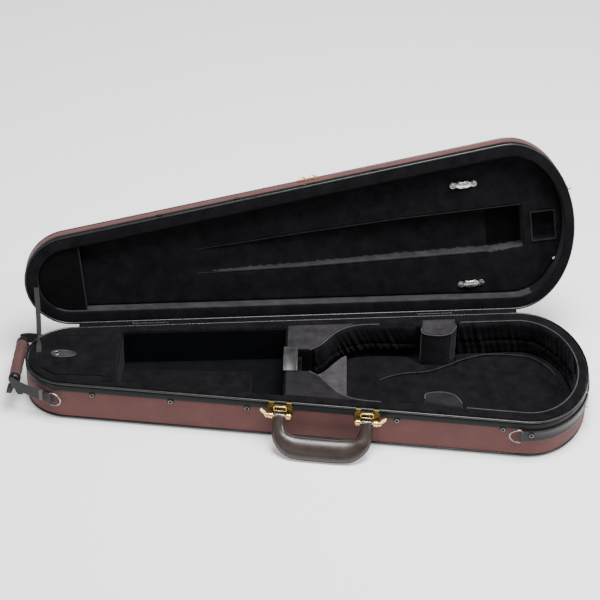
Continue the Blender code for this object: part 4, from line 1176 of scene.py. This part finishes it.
def build_neck_strap():
    """An arched leather strap, its edges painted and stitched."""
    span, width, steps = 54.0, 20.0, 36
    loops = []
    section = [(-10, -0.9), (-9.4, -1.1), (9.4, -1.1), (10, -0.9), (10, 0.9), (9.4, 1.2)]
    section += [(8.6, 1.2), (8.2, 0.9), (-8.2, 0.9), (-8.6, 1.2), (-9.4, 1.2), (-10, 0.9)]
    for k in range(steps + 1):
        t = k / steps
        y, z = span / 2 - span * t, BASE_HEIGHT + 1.4 + STRAP_ARCH * sin(pi * t) ** 0.8
        loops.append([(NECK_STRAP_X + u, y, z + v) for u, v in section])
    skin_piece("leather_neck_strap", loops, "grey_leather", "neck_strap", "neck_strap")
    bm = bmesh.new()
    for u in (-width / 2 + 3.0, width / 2 - 3.0):
        for k in range(2, steps - 1):
            ends = []
            for part in (k, k + 0.62):
                t = part / steps
                z = BASE_HEIGHT + 2.45 + STRAP_ARCH * sin(pi * t) ** 0.8
                ends.append(Vector((NECK_STRAP_X + u, span / 2 - span * t, z)))
            add_skin(bm, tube([ends[0].lerp(ends[1], q) for q in (0, 0.33, 0.67, 1)], 0.28, 6))
    to_object("neck_strap_stitches", bm, "grey_leather", "neck_strap", material=THREAD)


def build_pull_tab():
    """The box's leather tab with a raised rim and a metal eyelet."""
    low = BASE_HEIGHT + 0.3
    plan = []
    for k in range(40):
        t = 2 * pi * k / 40
        along = PULL_TAB_X + 18.5 * cos(t) * (1.0 + 0.06 * sin(t) ** 2)
        plan.append((along, 8.6 * sin(t) * (1.0 - 0.16 * cos(t))))
    bm = bmesh.new()
    loops = []
    levels = ((0.5, 0.0), (0.0, 0.5), (0.0, 1.4), (0.4, 1.9), (1.0, 1.9), (1.5, 1.4), (3.0, 1.7), (6.0, 1.9))
    for inward, z in levels:
        keep = 1 - inward / 8.6
        shrink = 1 - inward / 18.5
        loops.append([(PULL_TAB_X + (x - PULL_TAB_X) * shrink, y * keep, low + z) for x, y in plan])
    add_skin(bm, loops)
    to_object("leather_pull_tab", bm, "grey_leather", "accessory_lid", "box_pull_tab", smooth=60)
    bm = bmesh.new()
    spot = Matrix.Translation((-350.5, 0, low + 1.5))
    turns = full_turn(8)
    add_skin(bm, lathe([(3.3 + 0.55 * cos(t), 0.5 + 0.5 * sin(t)) for t in turns], spot), closed=True)
    to_object("tab_eyelet", bm, "nickel", "accessory_lid", "box_tab_snap")
    socket = lathe([(3.0, 0.0), (2.9, 0.5), (1.6, 0.7), (0.1, 0.7)], spot)
    skin_piece("tab_snap_socket", socket, "nickel", "accessory_lid", material=DARK_NICKEL)


# ---- small things in the lid ------------------------------------------------------------------
def build_lid_fittings():
    """Bow spinners on screwed plates, the small snap, and welts on the pocket and channel edges."""
    for n, (x, y) in enumerate(SPINNER_SPOTS, 1):
        face = PAD_DEPTH - 0.3
        down = Matrix.Translation((x, y, face)) @ Matrix.Rotation(pi, 4, "X")
        bm = bmesh.new()
        plan = []
        for k in range(48):
            t = 2 * pi * k / 48
            u = 19.7 * cos(t)
            waist = 4.3 - 1.1 * cos(2 * pi * min(1.0, abs(u) / 11.0)) if abs(u) < 11 else 3.2
            swell = 3.2 + 1.5 * max(0.0, 1 - ((abs(u) - 15.5) / 4.6) ** 2) if abs(u) > 11 else waist
            plan.append((u, min(abs(sin(t)) * 9.0, swell) * (1 if sin(t) >= 0 else -1)))
        add_skin(bm, moved(block_loops(plan, 0.0, 1.6, 0.4), down))
        for u in (-15.5, 15.5):
            head = down @ Matrix.Translation((u, 0, 1.5))
            add_skin(bm, lathe([(2.6, 0.0), (2.5, 0.5), (1.8, 1.0), (0.8, 1.2), (0.1, 1.2)], head, 16))
        to_object(f"spinner_base_{n}", bm, "nickel", "lid", f"spinner_plate_{n}", material=WORN_NICKEL)
        bm = bmesh.new()
        turns = full_turn(40)
        bar = [(11.6 * cos(t), 5.0 * sin(t)) for t in turns]
        add_skin(bm, moved(block_loops(bar, 1.9, 4.2, 0.9, 4), down))
        knob = [(4.4, 3.6), (4.2, 4.6), (3.0, 5.2), (1.4, 5.4), (0.1, 5.4)]
        add_skin(bm, lathe(knob, down, 20))
        to_object(f"spinner_bar_{n}", bm, "nickel", f"bow_spinner_{n}", f"bow_spinner_{n}")

    bm = bmesh.new()
    snap = Matrix.Translation((366, 61, PAD_DEPTH - 0.2)) @ Matrix.Rotation(pi, 4, "X")
    add_skin(bm, lathe([(3.2, 0.0), (3.0, 0.7), (1.6, 1.0), (1.4, 1.9), (0.1, 2.1)], snap, 16))
    to_object("lid_snap", bm, "nickel", "lid")

    bm = bmesh.new()
    square = [(335, -13), (370, -13), (370, 31), (335, 31)]
    for a, b in zip(square, square[1:] + square[:1]):
        ends = [Vector((*a, PAD_DEPTH - 0.4)), Vector((*b, PAD_DEPTH - 0.4))]
        welt(bm, [ends[0].lerp(ends[1], k / 8) for k in range(9)], 1.3)
    back = [(-150, 19), (0, 28), (148, 34), (270, 39)]
    front = [(-150, -17), (0, -23), (148, -27), (322, -27)]
    for line in (back, front):
        welt(bm, lifted(even_line(line, 6.0), PAD_DEPTH + 0.2), 0.7)
    mouth = -313.0
    edge = side_y(mouth, CAVITY_INSET + 0.6)
    welt(bm, lifted(even_line([(mouth, -edge), (mouth, edge)], 4.0), 7.2), 1.3)
    # The welts are in a mid velvet, painted highlight on edges that catch the light.
    to_object("lid_welts", bm, "black_velvet", "lid", material=BLOCK_VELVET)


def build_hinge_cover():
    """The lining carried across the hinge gap, split into two narrow edges where a hinge shows."""
    stretches = [(8, 85, 0.0, 1.0), (135, 495, 0.0, 1.0), (545, 640, 0.0, 1.0)]
    for first, last in ((85, 135), (495, 545)):
        stretches += [(first, last, 0.0, 0.3), (first, last, 0.7, 1.0)]
    along = Vector((cos(TAPER), sin(TAPER), 0))
    for n, (first, last, low_part, high_part) in enumerate(stretches, 1):
        loops = []
        count = max(4, round((last - first) / 8))
        for k in range(count + 1):
            station = first + (last - first) * k / count
            low = edge_frame(1, station, -2.4, 62.15).translation
            high = opened() @ edge_frame(1, station, -2.4, 0.1).translation
            over = (high - low).cross(along).normalized() * 0.3
            parts = [low_part + (high_part - low_part) * t for t in (0, 0.25, 0.5, 0.75, 1)]
            row = [low.lerp(high, t) - over for t in parts]
            loops.append(row + [low.lerp(high, t) + over for t in parts[::-1]])
        cover = skin_piece(f"hinge_cover_{n}", loops, "black_velvet", None)
        foot = edge_frame(1, (first + last) / 2, -2.4, 62.15).translation
        head = opened() @ edge_frame(1, (first + last) / 2, -2.4, 0.1).translation
        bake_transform(cover)


# ---- stay ribbon ---------------------------------------------------------------------------
def build_stay():
    """A flat ribbon with a half turn at its foot, sewn to both flanges at the scroll end."""
    foot = Vector((-376.5, 3, BASE_HEIGHT + 0.5))
    head = opened() @ Vector((-379.0, 3, -1.0))
    width, thick, steps = 3.6, 0.35, 40
    loops = []
    for k in range(steps + 1):
        t = k / steps
        point = foot.lerp(head, t) + Vector((1.6 * sin(pi * t), 0, 0))
        turn = pi * 0.9 * min(1.0, t / 0.3) ** 2
        ahead = (head - foot).normalized()
        side = Matrix.Rotation(turn, 3, ahead) @ Vector((1.0, 0.28, 0)).normalized()
        out = side.cross(ahead).normalized()
        corners = [(-1, -1), (0, -1), (1, -1), (1, 1), (0, 1), (-1, 1)]
        loops.append([point + side * width * a + out * thick * b for a, b in corners])
    ribbon = skin_piece("ribbon_stay", loops, "black_webbing", None, "stay_ribbon")
    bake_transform(ribbon)


# ---- materials for the CAD nodes that stay ------------------------------------------------------
NODE_SLOTS = {
    "base_shell": "foam_shell", "lid_shell": "foam_shell", "compartment_lining": "blue_lining",
    "handle_pin_left": "brass", "handle_pin_right": "brass", "lid_ring_plate": "brass",
}


def finish_cad_nodes():
    for name, node in NODES.items():
        if node.hide_render:
            continue
        slot = NODE_SLOTS.get(name, "nickel")
        node.data.materials.clear()
        # The hinges get the near-black nickel, a painted dark reflection.
        node.data.materials.append(DARK_NICKEL if "hinge" in name else FINISH[slot])
        if slot in ("brass", "nickel"):
            bevel = node.modifiers.new("softened_edges", "BEVEL")
            bevel.width = 0.3 * MM
            bevel.segments = 2
            bevel.limit_method = "ANGLE"
            bevel.angle_limit = radians(50)


# ---- studio ----------------------------------------------------------------------------------
def build_camera():
    yaw, pitch, roll = radians(-0.689), radians(35.947), radians(0.914)
    data = bpy.data.cameras.new("camera")
    data.sensor_width = 36.0
    data.lens = 117.33
    camera = bpy.data.objects.new("camera", data)
    bpy.context.scene.collection.objects.link(camera)
    ahead = Vector((sin(yaw) * cos(pitch), cos(yaw) * cos(pitch), -sin(pitch)))
    level = ahead.cross(Vector((0, 0, 1))).normalized()
    upright = level.cross(ahead)
    right = cos(roll) * level + sin(roll) * upright
    up = -sin(roll) * level + cos(roll) * upright
    camera.matrix_world = Matrix((right, up, -ahead)).transposed().to_4x4()
    camera.location = (0.0155, -2.17, 1.7394)
    data.clip_end = 50.0
    bpy.context.scene.camera = camera


def area_light(name, place, target, size, power, tint=(1, 1, 1)):
    data = bpy.data.lights.new(name, "AREA")
    data.shape = "DISK"
    data.size = size
    data.energy = power
    data.color = tint
    lamp = bpy.data.objects.new(name, data)
    bpy.context.scene.collection.objects.link(lamp)
    lamp.location = place
    lamp.rotation_euler = (Vector(target) - Vector(place)).to_track_quat("-Z", "Y").to_euler()


def build_studio():
    bpy.ops.mesh.primitive_plane_add(size=40.0, location=(0, 0, -0.0006))
    floor = bpy.context.object
    floor.name = "studio_floor"
    made, shader, add, put = new_material("pale_floor", 0.9, Emission_Strength=0.3)
    shader.inputs["Emission Color"].default_value = (1.0, 1.0, 1.0, 1)
    speck = add("TexNoise", {"Scale": 3.0})
    put(shader, "Base Color", two_tone(add, speck.outputs["Fac"], (0.86, 0.86, 0.86), (0.9, 0.9, 0.9)))
    floor.data.materials.append(made)

    world = bpy.data.worlds.new("soft_light")
    world.use_nodes = True
    world.node_tree.nodes["Background"].inputs["Color"].default_value = (1.0, 1.0, 1.0, 1)
    world.node_tree.nodes["Background"].inputs["Strength"].default_value = 0.3
    bpy.context.scene.world = world
    area_light("top", (0.25, -0.15, 2.4), (0, 0.05, 0.1), 1.3, 135)
    area_light("key", (1.7, -0.4, 1.7), (0.1, 0.0, 0.05), 0.9, 30)
    area_light("front_fill", (-0.8, -2.2, 1.1), (0, 0, 0.05), 1.2, 5)


build_camera()
build_covers()
build_rivets()
build_velvet()
build_lid_liner()
build_gathered_walls()
build_handle()
for bracket_side, bracket_centre, bracket_out in zip(("left", "right"), ARM_CENTRES, (-1, 1)):
    build_bracket(bracket_side, bracket_centre)
    build_lever(bracket_side, bracket_centre, bracket_out)
build_arm_caps()
build_rings()
build_end_strap()
build_grip()
build_base_welts()
build_painted_light_facings()
build_neck_strap()
build_pull_tab()
build_lid_fittings()
build_hinge_cover()
build_stay()
finish_cad_nodes()
build_studio()
